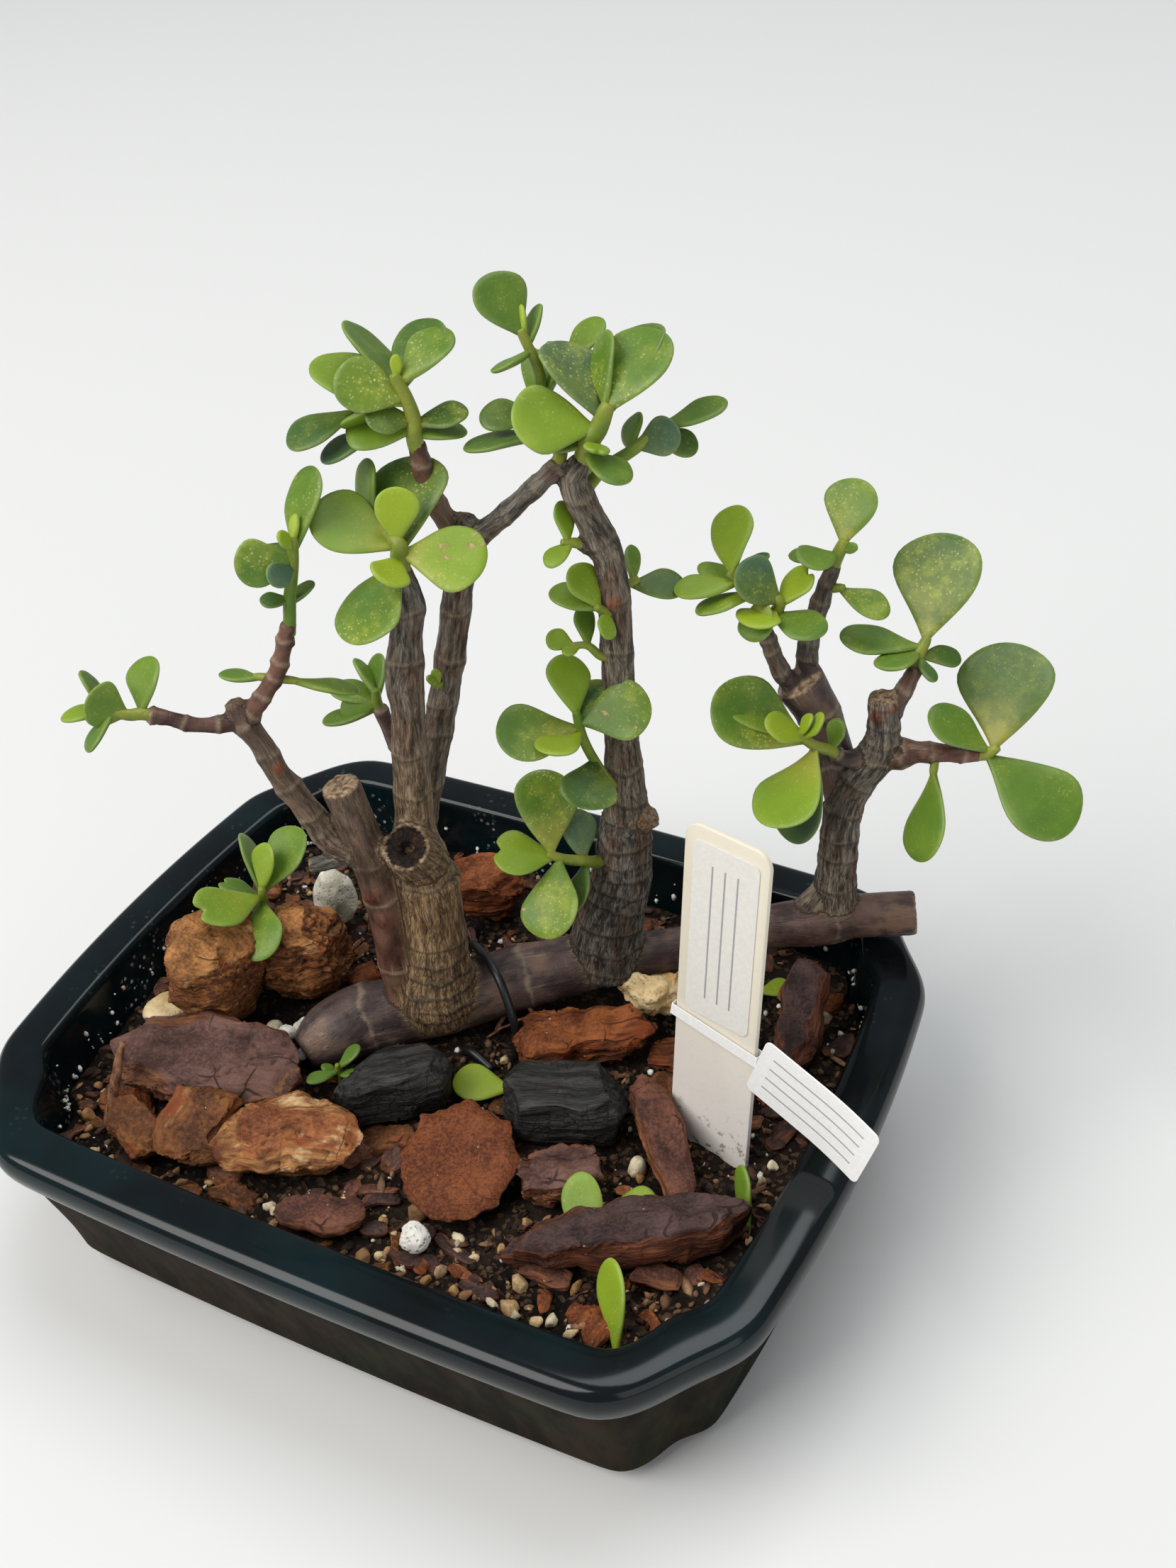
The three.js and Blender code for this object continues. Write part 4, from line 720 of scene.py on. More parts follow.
def cut_faces(points, normals):
    """How much of each point is cut wood, and how dark it has gone."""
    fresh, dark = np.zeros(len(points)), np.zeros(len(points))
    for place, facing, reach, darkness in CUTS:
        facing = np.array(facing) / np.linalg.norm(facing)
        offset = points - place
        near = np.linalg.norm(offset, axis=1) < reach
        flat = np.abs(offset @ facing) < 0.45 * reach + 1
        outward = np.clip((normals @ facing - 0.35) / 0.4, 0, 1)
        # A rotted hole: its walls take the dark colour too, as rot and as painted shade inside the
        # hole.
        if darkness == 1:
            outward = np.ones(len(points))
            flat &= offset @ facing < 1.5
        here = near & flat
        fresh[here] = outward[here]
        dark[here] = darkness
    return fresh, dark


def bark_finish():
    """Satin plum-brown skin under tan or slate-grey cork, which splits along the grain. The rings
    are dark marks of its own, and the cork's grooves, splits and fibre lines are darkened partly
    as painted shade.
    """
    bark = Finish("bark", Specular_IOR_Level=0.35)
    grain = bark.attribute("grain", "Vector")
    cork, warmth, ring_mark_and_groove_shade, ridge = bark.numbers("bark_state")
    fresh, dark, orange, _ = bark.numbers("cut_state")
    fibres = bark.stretched((1, 1, 6), grain)
    threads = (bark.noise(0.4, 3, 0.6, fibres, 0.6) - 0.5).math("ABSOLUTE").between(0.0, 0.06)
    splits = (bark.noise(1.2, 3, 0.6, fibres, 0.8) - 0.5).math("ABSOLUTE").between(0.0, 0.022)
    streak = bark.noise(0.5, 4, 0.65, fibres)
    mottle = bark.noise(2.2, 4, 0.6, bark.stretched((1, 1, 1.7), grain))
    clouds = bark.noise(7, 3, 0.55, grain)
    scratch = bark.noise(0.42, 2, 0.5, bark.stretched((1, 1, 14), grain)).between(0.6, 0.68)
    scratch = scratch * clouds.between(0.42, 0.6)
    hoops = bark.noise(0.3, 2, 0.5, bark.stretched((9, 9, 1), grain), 0.6).between(0.6, 0.7)
    plum = bark.mix(mottle.between(0.35, 0.68), "2c2020", "574541")
    mauve = bark.mix(mottle.between(0.3, 0.7), "443a3b", "6f605f")
    skin = bark.mix(clouds.between(0.42, 0.64) * 0.7, plum, mauve)
    red = bark.mix(mottle.between(0.35, 0.65), "45291f", "7d5442")
    smooth = bark.mix(warmth.between(0.45, 0.95) * 0.9, skin, red)
    dry = clouds.between(0.5, 0.6) * mottle.between(0.4, 0.56)
    smooth = bark.mix(dry * 0.65, smooth, "7a5f49")
    smooth = bark.mix(scratch * 0.36 + hoops * 0.05, smooth, "a39384")
    tan = bark.mix(streak.between(0.3, 0.64), "563e28", "aa8b64")
    slate = bark.mix(streak.between(0.32, 0.66), "302d2a", "8a8479")
    worn = bark.mix(streak.between(0.3, 0.6), "3b2a20", "806450")
    old = bark.mix(warmth.between(0.1, 0.85), slate, tan)
    patch = mottle.between(0.48, 0.6) * (1 - warmth * 0.7)
    old = bark.mix(patch * clouds.between(0.35, 0.55), old, worn)
    # The fibre lines and splits are darker partly in their own colour and partly as painted shade.
    old = bark.mix((1 - threads) * (0.2 + cork * 0.3), old, "231a13")
    old = bark.mix((1 - splits) * cork * 0.5, old, "191310")
    covered = bark.mix(cork.between(0.1, 0.6), smooth, old)
    # Ring marks in their own right, and on cork painted shade in the grooves and fissures.
    lined = bark.mix(ring_mark_and_groove_shade * 0.75, covered, "221b17")
    lined = bark.mix(ridge * mottle.between(0.3, 0.55) * 0.55, lined, "a8957a")
    bud = bark.mix(streak.between(0.35, 0.6), "3f1c12", "87492f")
    marked = bark.mix(orange * 0.85, lined, bud)
    heart = bark.mix(bark.noise(0.5, 4).between(0.35, 0.65), "7a5d45", "c4aa8a")
    rot = bark.mix(bark.noise(0.7, 4).between(0.4, 0.7), "120d0a", "3d2519")
    colour = bark.mix(fresh, marked, bark.mix(dark, heart, rot))
    height = streak * (0.12 + cork * 0.5) + (threads * 0.5 + splits) * cork * 0.8 + mottle * 0.3
    height = height + fresh * bark.noise(0.35, 3) * 0.6 + scratch * 0.15 - hoops * 0.1
    roughness = 0.36 + cork * 0.45 + mottle * 0.14
    return bark.wear(colour, roughness, height, 0.4)


def wood_piece():
    wood = rough_wood()
    points, normals = points_of(wood), normals_of(wood)
    relief, state, grain = bark_relief(points)
    raised, orange = scar_marks(points)
    fresh, dark = cut_faces(points, normals)
    ragged = np.array([noise.noise(Vector(p) * 0.9) for p in points])
    relief = (relief + raised) * (1 - fresh) + 0.25 * ragged * fresh
    put_points(wood, points + normals * relief[:, None])
    add_attribute(wood, "bark_state", state)
    add_attribute(wood, "cut_state", np.column_stack([fresh, dark, orange, np.ones(len(points))]))
    add_attribute(wood, "grain", grain)
    wood.data.shade_smooth()
    return dress(wood, bark_finish(), "bark", "tree_wood")


wood_piece()

# The anchor wire. Coated wire that ties the raft to the pot: it comes up behind the first trunk,
# goes over the raft and into the soil, and its cut tail sticks out again.

WIRE_RADIUS = 0.85
WIRE_ROUTE = [
    [-12, 20.5, 27], [-11, 19.5, 34], [-6.5, 16.5, 42], [-0.5, 11.5, 45.6], [5, 7.5, 44.6],
    [8.6, 4.8, 39], [9.6, 4, 33], [8.6, 3, 28], [4, 1.6, 26.5], [-0.5, 0.6, 29],
    [2, -0.8, 31.6], [7.5, -2.6, 30.6],
]


def wire_piece():
    rubber = Finish("wire coat", Base_Color="141517", Specular_IOR_Level=0.5)
    rubber.wear(roughness=0.3 + rubber.noise(1.5, 4) * 0.2, height=rubber.noise(0.6, 3), depth=0.03)
    route = [[*spot, WIRE_RADIUS] for spot in WIRE_ROUTE]
    return dress(mesh_piece("tie_wire", *tube(route, 16, 8)), rubber, "wire", "anchor_wire")


wire_piece()

# The leaves. Fleshy and smooth, up to 2 mm thick, in opposite pairs that cross each other up
# each green shoot: lime when new, deep green when old, with a pale rim and cream flecks.

# Name of the node, then [x, y, z, radius] up the green stem from its root in the wood, then
# leaves as (stem point, azimuth, rise, length, width, azimuth and rise of the face, look).
SHOOTS = [
    ("leaves_front", [[-4.5, 9, 131.5, 1.7], [-4.2, 8.9, 136.6, 1.6], [-4.2, 8.8, 138.6, 1.3],
                      [-11, 12, 139.5, 1]], None, [
        (1, 110, 65, 9, 7.5, -55, 25, "lime"),
        (1, -75, -15, 9, 7, -15, 60, "lime"),
        (1, -170, 20, 15, 12, -40, 65, "young golden"),
        (1, 15, -10, 15, 12, -55, 55, "young golden flecked scabbed"),
        (0, 110, 35, 17.5, 16, -100, 50, "dark flecked"),
        (0, -100, -35, 17, 13, -105, 55, "green flecked"),
        (2, 125, 40, 11, 7, -125, 20, "olive"),
    ]),
    ("leaves_left_middle", [[-20.4, -2.9, 124.5, 1.2], [-20, -2.5, 127, 1.1],
                            [-19.5, -2, 131, 1.1], [-18, -1.5, 137, 1], [-17.5, -1, 141, 0.9]],
     None, [
        (3, 100, 40, 13.5, 8.5, -115, 45, "green flecked"),
        (3, -135, -10, 10, 8, -50, 30, "green flecked scabbed"),
        (3, 105, 50, 5, 2, -100, 35, "lime"),
        (3, -95, 50, 4.5, 3, 10, 10, "lime"),
        (2, -95, 5, 6, 4.5, -5, 35, "teal"),
        (2, 150, 5, 8, 5.5, 30, 80, "dark"),
        (1, -130, 10, 5, 3.5, -5, 70, "dark"),
        (1, 80, 5, 5.5, 3.5, -165, 75, "dark"),
    ]),
    ("twig_leaf_left", [[-23.2, -5.6, 116.5, 0.8], [-26, -5.9, 116.3, 0.7]], None, [
        (0, -175, -5, 8, 4.5, 145, 80, "green"),
    ]),
    ("twig_leaf_right", [[-23.2, -5.6, 116.5, 0.8], [-20.8, -3.9, 115.6, 0.7]], None, [
        (0, 35, -20, 11.5, 5.5, 65, 70, "olive"),
    ]),
    ("leaves_far_left", [[-37.5, -18.6, 113.3, 1], [-39.8, -20.7, 114.9, 1.1],
                         [-41.5, -22.3, 115.3, 1], [-44.5, -24.5, 117, 0.8]], None, [
        (0, 110, 40, 10, 7.5, -105, 45, "green"),
        (1, -135, 40, 7.5, 8, -30, 20, "green scabbed"),
        (2, 155, 45, 7.5, 4.5, 30, 30, "green scabbed"),
        (2, -155, -10, 7.5, 5, -160, 80, "young"),
        (2, -90, -40, 7.5, 5, -130, 40, "green"),
    ]),
    ("leaves_top_left", [[-5.3, 19.8, 149, 1.4], [-5.5, 19.5, 152, 1.4], [-5.5, 20, 155, 1.3],
                         [-6, 19.5, 159, 1.1], [-7, 19, 162, 1]],
     (1, [[-11.5, 19.5, 153, 0.9], [-15.5, 18.5, 155.5, 0.8]]), [
        (3, -155, 5, 10, 9, -60, 35, "green flecked"),
        (3, 65, 25, 12, 8, -85, 60, "green flecked"),
        (3, 90, 25, 13, 10, -110, 65, "dark"),
        (3, 180, 5, 15.5, 12, -30, 80, "young"),
        (3, 110, 65, 4, 2, -55, 25, "lime"),
        (3, 150, 20, 15, 11.5, 35, 50, "green"),
        (1, -135, 15, 8, 6, -25, 50, "dark"),
        (1, 40, 0, 9, 6.5, -55, 75, "dark flecked"),
        (1, 50, -25, 9.5, 6.5, 30, 65, "olive"),
        (1, -165, -5, 11.5, 10.5, -85, 55, "olive"),
        (5, -130, -15, 12.5, 8, -105, 70, "dark"),
        (2, -160, -25, 12.5, 6.5, -40, -50, "olive"),
        (4, -135, -20, 11.5, 6.5, -125, 70, "teal"),
    ]),
    ("leaves_crown", [[20.5, 27.2, 147, 1.7], [22, 28, 152, 1.8], [23.3, 28.8, 154, 1.6],
                      [24.5, 29.5, 157, 1.3]], None, [
        (2, -145, 5, 15, 11.5, -45, 50, "young"),
        (2, 70, 35, 15.5, 12.5, -95, 55, "green flecked"),
        (2, 90, 25, 18, 15, -130, 55, "dark"),
        (2, 155, 30, 15, 12, 0, 55, "teal flecked"),
        (2, 115, 40, 13.5, 7, -130, 30, "green flecked"),
        (0, -25, -25, 10, 7.5, 0, 65, "green"),
        (0, -155, 4, 7.5, 5, -65, 75, "dark"),
        (0, -45, 5, 6, 4.5, 60, 70, "young notched"),
    ]),
    ("leaves_high", [[16.3, 24.6, 147, 1.3], [17.2, 26.8, 149.3, 1.2], [14, 29, 151, 1.1],
                     [12, 29.5, 155, 1], [12, 31.5, 160, 0.9], [9.5, 31.5, 166.5, 0.8]],
     (2, [[12, 34, 157, 0.9], [11.5, 40, 158.5, 0.8]]), [
        (4, 165, 50, 11, 10, -30, 40, "green"),
        (4, 95, 20, 7, 4.5, -150, 45, "green"),
        (4, -100, -20, 8.5, 4.5, -150, 60, "green"),
        (4, 120, 50, 5, 2.5, -120, 20, "lime"),
        (2, 105, 40, 12, 8, -110, 45, "olive flecked notched"),
        (2, -155, -5, 9.5, 6, -70, 60, "dark"),
        (1, -150, -4, 14, 7, 120, 85, "dark"),
        (6, 65, 30, 10, 6, -100, 60, "olive"),
    ]),
    ("leaves_crown_right", [[20.3, 27.4, 142.5, 1.2], [22, 31.5, 145, 1.1],
                            [26.5, 35, 148, 1], [29.5, 38, 151, 0.9]], None, [
        (2, 45, 10, 12, 6.5, -140, 80, "green"),
        (2, 20, -35, 7.5, 5, -30, 40, "dark"),
        (1, 20, 25, 8, 6.5, -80, 20, "teal"),
        (1, 115, 20, 7.5, 5.5, -135, 40, "green"),
    ]),
    ("leaves_trunk3_twig", [[20.8, 25.9, 133.6, 0.8], [20, 24.6, 134.8, 0.9],
                            [19, 23.5, 135.3, 0.7]], None, [
        (1, 125, 50, 7, 4.5, -15, 30, "young"),
        (1, -110, -25, 5.5, 4, -90, 65, "young"),
    ]),
    ("leaves_trunk3_lime", [[23.9, 29, 120.8, 1], [23.9, 26.3, 121.2, 0.9],
                            [23.5, 24.5, 123, 0.8]], None, [
        (1, 165, 50, 8.5, 6.5, -25, 40, "young"),
        (1, -170, 15, 9, 6, -30, 75, "olive"),
        (1, -50, -40, 5.5, 4, -10, 40, "young"),
    ]),
    ("leaves_trunk3_small", [[23.6, 28.9, 110.8, 0.9], [22.3, 26.2, 112, 0.8],
                             [20.5, 25, 114.5, 0.7], [18.5, 23.5, 115, 0.6]], None, [
        (1, 125, 50, 7, 4.5, -15, 30, "green"),
        (2, -155, 25, 5, 4, -40, 40, "young"),
        (2, -100, 0, 3, 2.5, -5, 75, "young"),
    ]),
    ("leaves_trunk3_right", [[23.8, 29.1, 122.6, 0.9], [24.2, 32.3, 123, 0.8],
                             [25.5, 33.5, 123.5, 0.8]], None, [
        (1, 40, -15, 9.5, 6.5, -20, 60, "dark"),
        (1, 115, 20, 8, 3.5, 5, 45, "green"),
    ]),
    ("leaves_trunk3_rosette", [[23.6, 28.9, 82.5, 1], [23, 25, 85.5, 0.9], [21.5, 22, 92.5, 0.9],
                               [20.5, 20.5, 98, 0.9], [20, 20, 103, 0.8]], None, [
        (3, 135, 50, 11, 8.5, -25, 40, "young"),
        (3, 30, 5, 13, 11, -70, 55, "green flecked scabbed"),
        (3, 85, 10, 9.5, 7, -130, 80, "dark flecked"),
        (3, -140, -5, 14.5, 11.5, -60, 65, "green flecked golden"),
        (3, -100, -10, 10, 8.5, -120, 80, "lime"),
        (1, -75, -25, 10, 10.5, -50, 60, "dark flecked"),
    ]),
    ("leaves_trunk3_base", [[21.6, 27.5, 65, 1.3], [19.5, 23, 67, 1.2], [19, 20, 69.5, 1.1],
                            [16.5, 17.5, 71, 1], [14.5, 16, 72.5, 0.9]], None, [
        (3, 125, 50, 16, 12.5, -30, 35, "green flecked golden"),
        (3, -150, 10, 11, 9.5, -40, 65, "young notched"),
        (3, -70, -40, 15.5, 12, -100, 45, "green flecked scabbed"),
        (1, -90, -45, 10, 6.5, -120, 40, "dark"),
        (1, 130, 45, 10, 7.5, -25, 40, "teal"),
    ]),
    ("leaves_trunk5_left", [[45.1, 45.5, 109.5, 1.2], [44.6, 45, 112, 1.2],
                            [47.5, 45.5, 117, 1.1], [44, 44, 119, 1], [40, 42.5, 122.5, 0.8]],
     None, [
        (3, 110, 45, 12.5, 9, -115, 35, "young"),
        (3, -140, -5, 10.5, 6, -85, 80, "young"),
        (3, 160, -5, 8, 5, -155, 85, "olive"),
        (2, -135, -5, 11.5, 5.5, 175, 85, "olive flecked"),
        (3, 75, 0, 9.5, 4, 170, 75, "dark"),
        (1, -155, 45, 10.5, 9, -25, 35, "teal"),
        (1, -105, 0, 9, 8, -35, 85, "lime"),
        (2, -75, -45, 8.5, 7, -105, 40, "olive golden"),
        (1, 60, 35, 8, 6.5, -115, 55, "lime notched"),
        (1, -20, -15, 10, 9, -30, 75, "green"),
    ]),
    ("leaves_trunk5_right", [[53.4, 54.6, 119, 1.2], [54, 55, 121.8, 1.2],
                             [55, 55.5, 124.5, 1.1]], None, [
        (1, 95, 45, 12, 9.5, -90, 45, "green golden flecked"),
        (1, -125, 0, 9, 6.5, -30, 75, "green"),
        (1, -10, 10, 3, 2, -105, 30, "green"),
        (0, 170, -10, 9.5, 4.5, -150, 75, "green"),
    ]),
    ("leaf_trunk5_side", [[52.4, 54.1, 116, 0.9], [55, 54, 116.8, 0.8]], None, [
        (0, 10, -25, 10, 6, -40, 55, "green flecked"),
    ]),
    ("leaves_trunk4_top", [[68.8, 54.3, 101, 1.2], [69.2, 56.5, 104.5, 1.1],
                           [69.8, 58, 106.5, 1]], None, [
        (1, 95, 45, 20, 16, -95, 45, "dark golden flecked"),
        (1, -160, 5, 15, 8.5, -15, 85, "green"),
        (1, -115, 0, 11.5, 7, 150, 80, "green"),
        (1, 45, -35, 9, 4.5, 5, 45, "dark"),
        (0, -45, -15, 6.5, 3, 10, 70, "dark"),
    ]),
    ("leaves_trunk4_right", [[79.5, 55.5, 86.4, 1.1], [82.6, 56, 86.7, 1.1], [84, 56.2, 88, 1]],
     None, [
        (1, 95, 50, 19.5, 17.5, -95, 40, "dark golden"),
        (1, -10, -35, 20, 15.5, -35, 50, "green"),
        (1, -166, 32, 13.9, 8.5, -20, 45, "green"),
    ]),
    ("leaf_trunk4_hanging", [[74.2, 54.2, 86, 0.8], [74.5, 52.5, 83.5, 0.8]], None, [
        (0, -80, -45, 17, 10.5, -135, 30, "olive"),
    ]),
    ("leaves_trunk4_left", [[58.4, 45.2, 87.6, 1.1], [57.9, 44.2, 89, 1.1], [55.5, 42, 91, 1],
                            [53.5, 40, 94, 0.9]], None, [
        (2, -165, 25, 17, 14, -45, 50, "green golden flecked"),
        (2, -140, 35, 8, 6, -5, 45, "lime"),
        (2, 10, 50, 6.5, 4, -140, 35, "lime"),
        (2, -90, -35, 17.5, 13.5, -120, 50, "young golden"),
        (1, -90, -55, 18, 14, -130, 30, "teal"),
        (0, 85, 60, 6, 4, -105, 30, "green"),
        (2, 25, 65, 5, 3, -135, 20, "lime"),
        (2, -172, 20, 16.5, 6.5, -40, 70, "young"),
    ]),
    ("leaves_behind", [[-16.4, 13.1, 98.5, 1.1], [-17, 13, 100.6, 1], [-17, 13, 102.5, 0.9]],
     None, [
        (0, -155, -10, 7, 5, -70, 35, "olive"),
        (1, 175, -5, 10, 7, 140, 85, "green"),
        (1, -150, -25, 11.5, 5.5, -170, 65, "green"),
        (1, 145, 20, 9, 4, 35, 40, "green"),
        (1, 120, 20, 9, 5.5, -130, 45, "green"),
    ]),
    ("bud_trunk2", [[-5.6, 19.4, 104.5, 0.7], [-5.5, 16.2, 105.5, 0.6]], None, [
        (0, 135, 70, 3, 2, -55, 20, "young"),
        (0, -125, 50, 3, 2, 5, 30, "young"),
    ]),
]

# How far each look is along from lime (0) to teal (1).
LEAF_TONES = {"lime": 0.0, "young": 0.22, "olive": 0.42, "green": 0.55, "dark": 0.78, "teal": 1.0}
LEAF_THICKNESS = 1.5
LEAF_CUP = 0.07
LEAF_BEND = 0.06
LEAF_WIDEST = 0.67
LEAF_LOBES = 0.05
LEAF_NOTCH = 0.13
LEAF_WAVE = 0.02
LEAF_TWIST = 0.05
LEAF_RINGS = 22
LEAF_AROUND = 18
LEAF_ROOT = 0.7
LEAF_SPACING = 0.9
PETIOLE = 0.55
BUD_LENGTH = 1.1
STEM_TONE = 0.5


def direction(azimuth, rise):
    a, r = math.radians(azimuth), math.radians(rise)
    return np.array([math.cos(r) * math.cos(a), math.cos(r) * math.sin(a), math.sin(r)])


def leaf_grid():
    """Share of the length and angle round the section at each point of a leaf, and its faces. A
    leaf starts as a sphere with its poles at the foot and the tip."""
    bpy.ops.mesh.primitive_uv_sphere_add(segments=LEAF_AROUND, ring_count=LEAF_RINGS, radius=MM)
    sphere = bpy.context.object
    points = points_of(sphere)
    faces = [tuple(p.vertices) for p in sphere.data.polygons]
    bpy.data.objects.remove(sphere)
    share = np.clip(0.5 * (1 - points[:, 2]), 0, 1)
    return share, np.arctan2(points[:, 1], points[:, 0]), faces


LEAF_SHARE, LEAF_ANGLE, LEAF_FACES = leaf_grid()


def leaf_half_width(share, width):
    """Half the width at a share of the length: a slim foot, broad past the middle, round tip."""
    power = math.log(0.5) / math.log(LEAF_WIDEST)
    arch = np.clip(np.sin(math.pi * share**power), 0, 1)
    half = np.where(share < LEAF_WIDEST, arch**0.68, arch**0.5) * width / 2
    return np.maximum(half, PETIOLE * np.clip((1 - share) * 3, 0, 1) * (share > 0))


def leaf_mesh(foot, tip, width, face_azimuth, face_rise, look, draw):
    """Points, faces and colour states of one leaf from its foot to its tip."""
    along = tip - foot
    length = np.linalg.norm(along)
    along = along / length
    face = direction(face_azimuth, face_rise)
    face = face - along * (face @ along)
    face /= np.linalg.norm(face)
    side = np.cross(along, face)
    share, angle = LEAF_SHARE, LEAF_ANGLE
    wobble = draw.uniform(-1, 1)
    lobes = np.sin(2.4 * math.pi * share + 3 * wobble) * np.sign(np.cos(angle))
    half = leaf_half_width(share, width) * (1 + LEAF_LOBES * lobes)
    thickness = min(LEAF_THICKNESS, 0.8 + 0.06 * length)
    depth = 0.5 * thickness * (0.62 + 0.38 * np.clip(np.sin(math.pi * share), 0, 1) ** 0.7)
    closing = np.clip(share * 14, 0, 1) ** 0.5 * np.clip((1 - share) * 16, 0, 1) ** 0.5
    swing = np.sign(np.cos(angle)) * np.abs(np.cos(angle)) ** 0.72
    s = half * swing
    across = np.clip(s / (width / 2), -1, 1)
    reach = share * length - LEAF_ROOT * (1 - share)
    if "notched" in look:
        bite = np.exp(-((across - 0.25 * wobble) ** 2) / 0.05)
        reach = reach - LEAF_NOTCH * length * (bite * np.clip((share - 0.72) / 0.28, 0, 1))
    bend = LEAF_BEND * length * draw.uniform(-0.6, 1) * 4 * share * (1 - share)
    wave = LEAF_WAVE * width * np.sin(9 * share + 6 * wobble) * across**2
    f = depth * closing * np.sin(angle) + LEAF_CUP * width * across**2 - bend + wave
    f += LEAF_TWIST * width * draw.uniform(-1, 1) * across * share
    points = foot + reach[:, None] * along + s[:, None] * side + f[:, None] * face
    return points, LEAF_FACES, leaf_marks(look.split(), draw)


def leaf_marks(words, draw):
    """What colours a leaf: its tone, flecks, golden foot and pale rim, and whether it is scabbed.
    The last number drawn is spare, and keeps the draws of the leaves that follow."""
    share, every = LEAF_SHARE, np.ones(len(LEAF_SHARE))
    tone = LEAF_TONES[words[0]] + draw.uniform(-0.06, 0.06)
    fleck = 1.0 if "flecked" in words else 0.3 + 0.2 * draw.random()
    gold = np.exp(-((share - 0.2) / 0.24) ** 2) * (1.0 if "golden" in words else 0.12)
    margin = np.abs(np.cos(LEAF_ANGLE)) ** 6 * np.clip(share * 6 - 0.6, 0, 1)
    margin = np.maximum(margin, np.clip((share - 0.975) / 0.02, 0, 1))
    draw.random()
    state = np.column_stack([tone * every, fleck * every, gold, margin])
    return {"leaf_state": state, "leaf_scabs": every * ("scabbed" in words)}


def stem_mesh(route):
    """Points, faces and what colours them of one green stem."""
    points, faces = tube(route, 10, 4)
    state = np.tile([STEM_TONE, 0.3, 0.75, 0.0], (len(points), 1))
    return points, faces, {"leaf_state": state, "leaf_scabs": np.zeros(len(points))}


def leaf_places(stem, first, rows):
    """Foot, tip and form of each leaf. Those that share a stem point are set apart down the stem,
    the flattest lowest, as pairs of leaves follow each other."""
    spots = [np.array(s[:3], float) for s in stem]
    for i, spot in enumerate(spots):
        here = sorted((row for row in rows if row[0] == first + i), key=lambda row: -row[2])
        after = spots[max(i, 1)] if len(spots) > 1 else spot
        down = spots[max(i - 1, 0)] - after
        if down.any():
            down *= LEAF_SPACING / np.linalg.norm(down)
        for k, (_, azimuth, rise, length, *form) in enumerate(here):
            yield spot + down * k, spot + direction(azimuth, rise) * length, form


def with_bud(route):
    """A stem's route with the bud that it ends in."""
    before, end = np.array(route[-2]), np.array(route[-1])
    ahead = (end - before)[:3]
    tip = end[:3] + ahead * BUD_LENGTH / np.linalg.norm(ahead)
    return [*route, [*tip, 0.75 * end[3]]]


def joined(name, parts):
    """One piece of parts, each (points in millimetres, faces, values of each attribute)."""
    points, faces, start = [], [], 0
    for part_points, part_faces, _ in parts:
        points.append(part_points)
        faces += [tuple(start + v for v in face) for face in part_faces]
        start += len(part_points)
    piece = mesh_piece(name, np.vstack(points), faces)
    for layer in parts[0][2]:
        add_attribute(piece, layer, np.concatenate([values[layer] for *_, values in parts]))
    return piece


def leafy_piece(name, stems, rows, seed):
    """One piece of a shoot: its green stems and its leaves. stems are (route, number of its
    first leaf point)."""
    draw = random.Random(seed)
    parts = [stem_mesh(with_bud(route)) for route, _ in stems]
    for route, first in stems:
        for foot, tip, form in leaf_places(route[1:], first, rows):
            parts.append(leaf_mesh(foot, tip, *form, draw))
    return joined("grown_" + name, parts)


def leaf_finish():
    """Waxy green flesh with a pale rim, cream stipple, golden feet and tan corky scabs."""
    leaf = Finish(
        "leaf",
        Specular_IOR_Level=0.32,
        Subsurface_Weight=0.1,
        Subsurface_Radius=(0.0012, 0.0018, 0.0004),
        Subsurface_Scale=0.6,
        Coat_Weight=0.07,
        Coat_Roughness=0.3,
    )
    tone, fleck, gold, margin = leaf.numbers("leaf_state")
    scabby = leaf.attribute("leaf_scabs")
    clouds = leaf.noise(6, 3)
    age = tone + (clouds - 0.5) * 0.4
    lime = leaf.mix(age.between(0, 0.3), "90a722", "759323")
    young = leaf.mix(age.between(0.2, 0.6), lime, "557722")
    grown = leaf.mix(age.between(0.5, 0.85), young, "3d5d22")
    green = leaf.mix(age.between(0.82, 1.05), grown, "47644d")
    warm = gold * leaf.noise(4, 4, 0.6).between(0.3, 0.6)
    green = leaf.mix(warm * 0.7, green, "a39a40")
    patches = leaf.noise(4, 4, 0.6).between(0.36, 0.62)
    mottle = leaf.noise(1.4, 5, 0.7).between(0.46, 0.62)
    green = leaf.mix(patches * fleck * (mottle * 0.35 + 0.2), green, "a3ab3c")
    fine = leaf.cells(0.7).between(0.34, 0.16) * leaf.noise(1.3, 2).between(0.36, 0.56)
    coarse = leaf.cells(1.1).between(0.2, 0.1) * leaf.noise(3, 2).between(0.44, 0.6)
    dots = (fine * 0.7 + coarse) * (patches * 0.8 + 0.2)
    green = leaf.mix(dots * fleck * 0.72, green, "c9cb88")
    scab = leaf.noise(0.8, 5, 0.7).between(0.52, 0.57) * leaf.noise(2.6, 2).between(0.6, 0.64)
    scab = scab * scabby
    green = leaf.mix(scab, green, leaf.mix(leaf.noise(0.5, 3), "8f7238", "cdb98a"))
    colour = leaf.mix(margin * 0.4, green, "9caf66")
    roughness = 0.36 + clouds * 0.12 + scab * 0.4 + dots * 0.1
    height = leaf.cells(0.5) * 0.2 + leaf.noise(2.5, 2) * 0.8 + scab * leaf.noise(0.5, 4) * 1.2
    return leaf.wear(colour, roughness, height, 0.09)


leaf_green = leaf_finish()
for number, (name, stem, side, rows) in enumerate(SHOOTS):
    stems = [(stem, 0)]
    if side:
        start, side_route = side
        stems.append(([stem[start + 1], *side_route], len(stem) - 1))
    dress(leafy_piece(name, stems, rows, number), leaf_green, "leaf", name)

# The seedlings. Two young cuttings of the same plant, each a few fleshy leaves on a thin green
# stem. They aren't joined to the tree: they stand in the soil, where they have rooted.

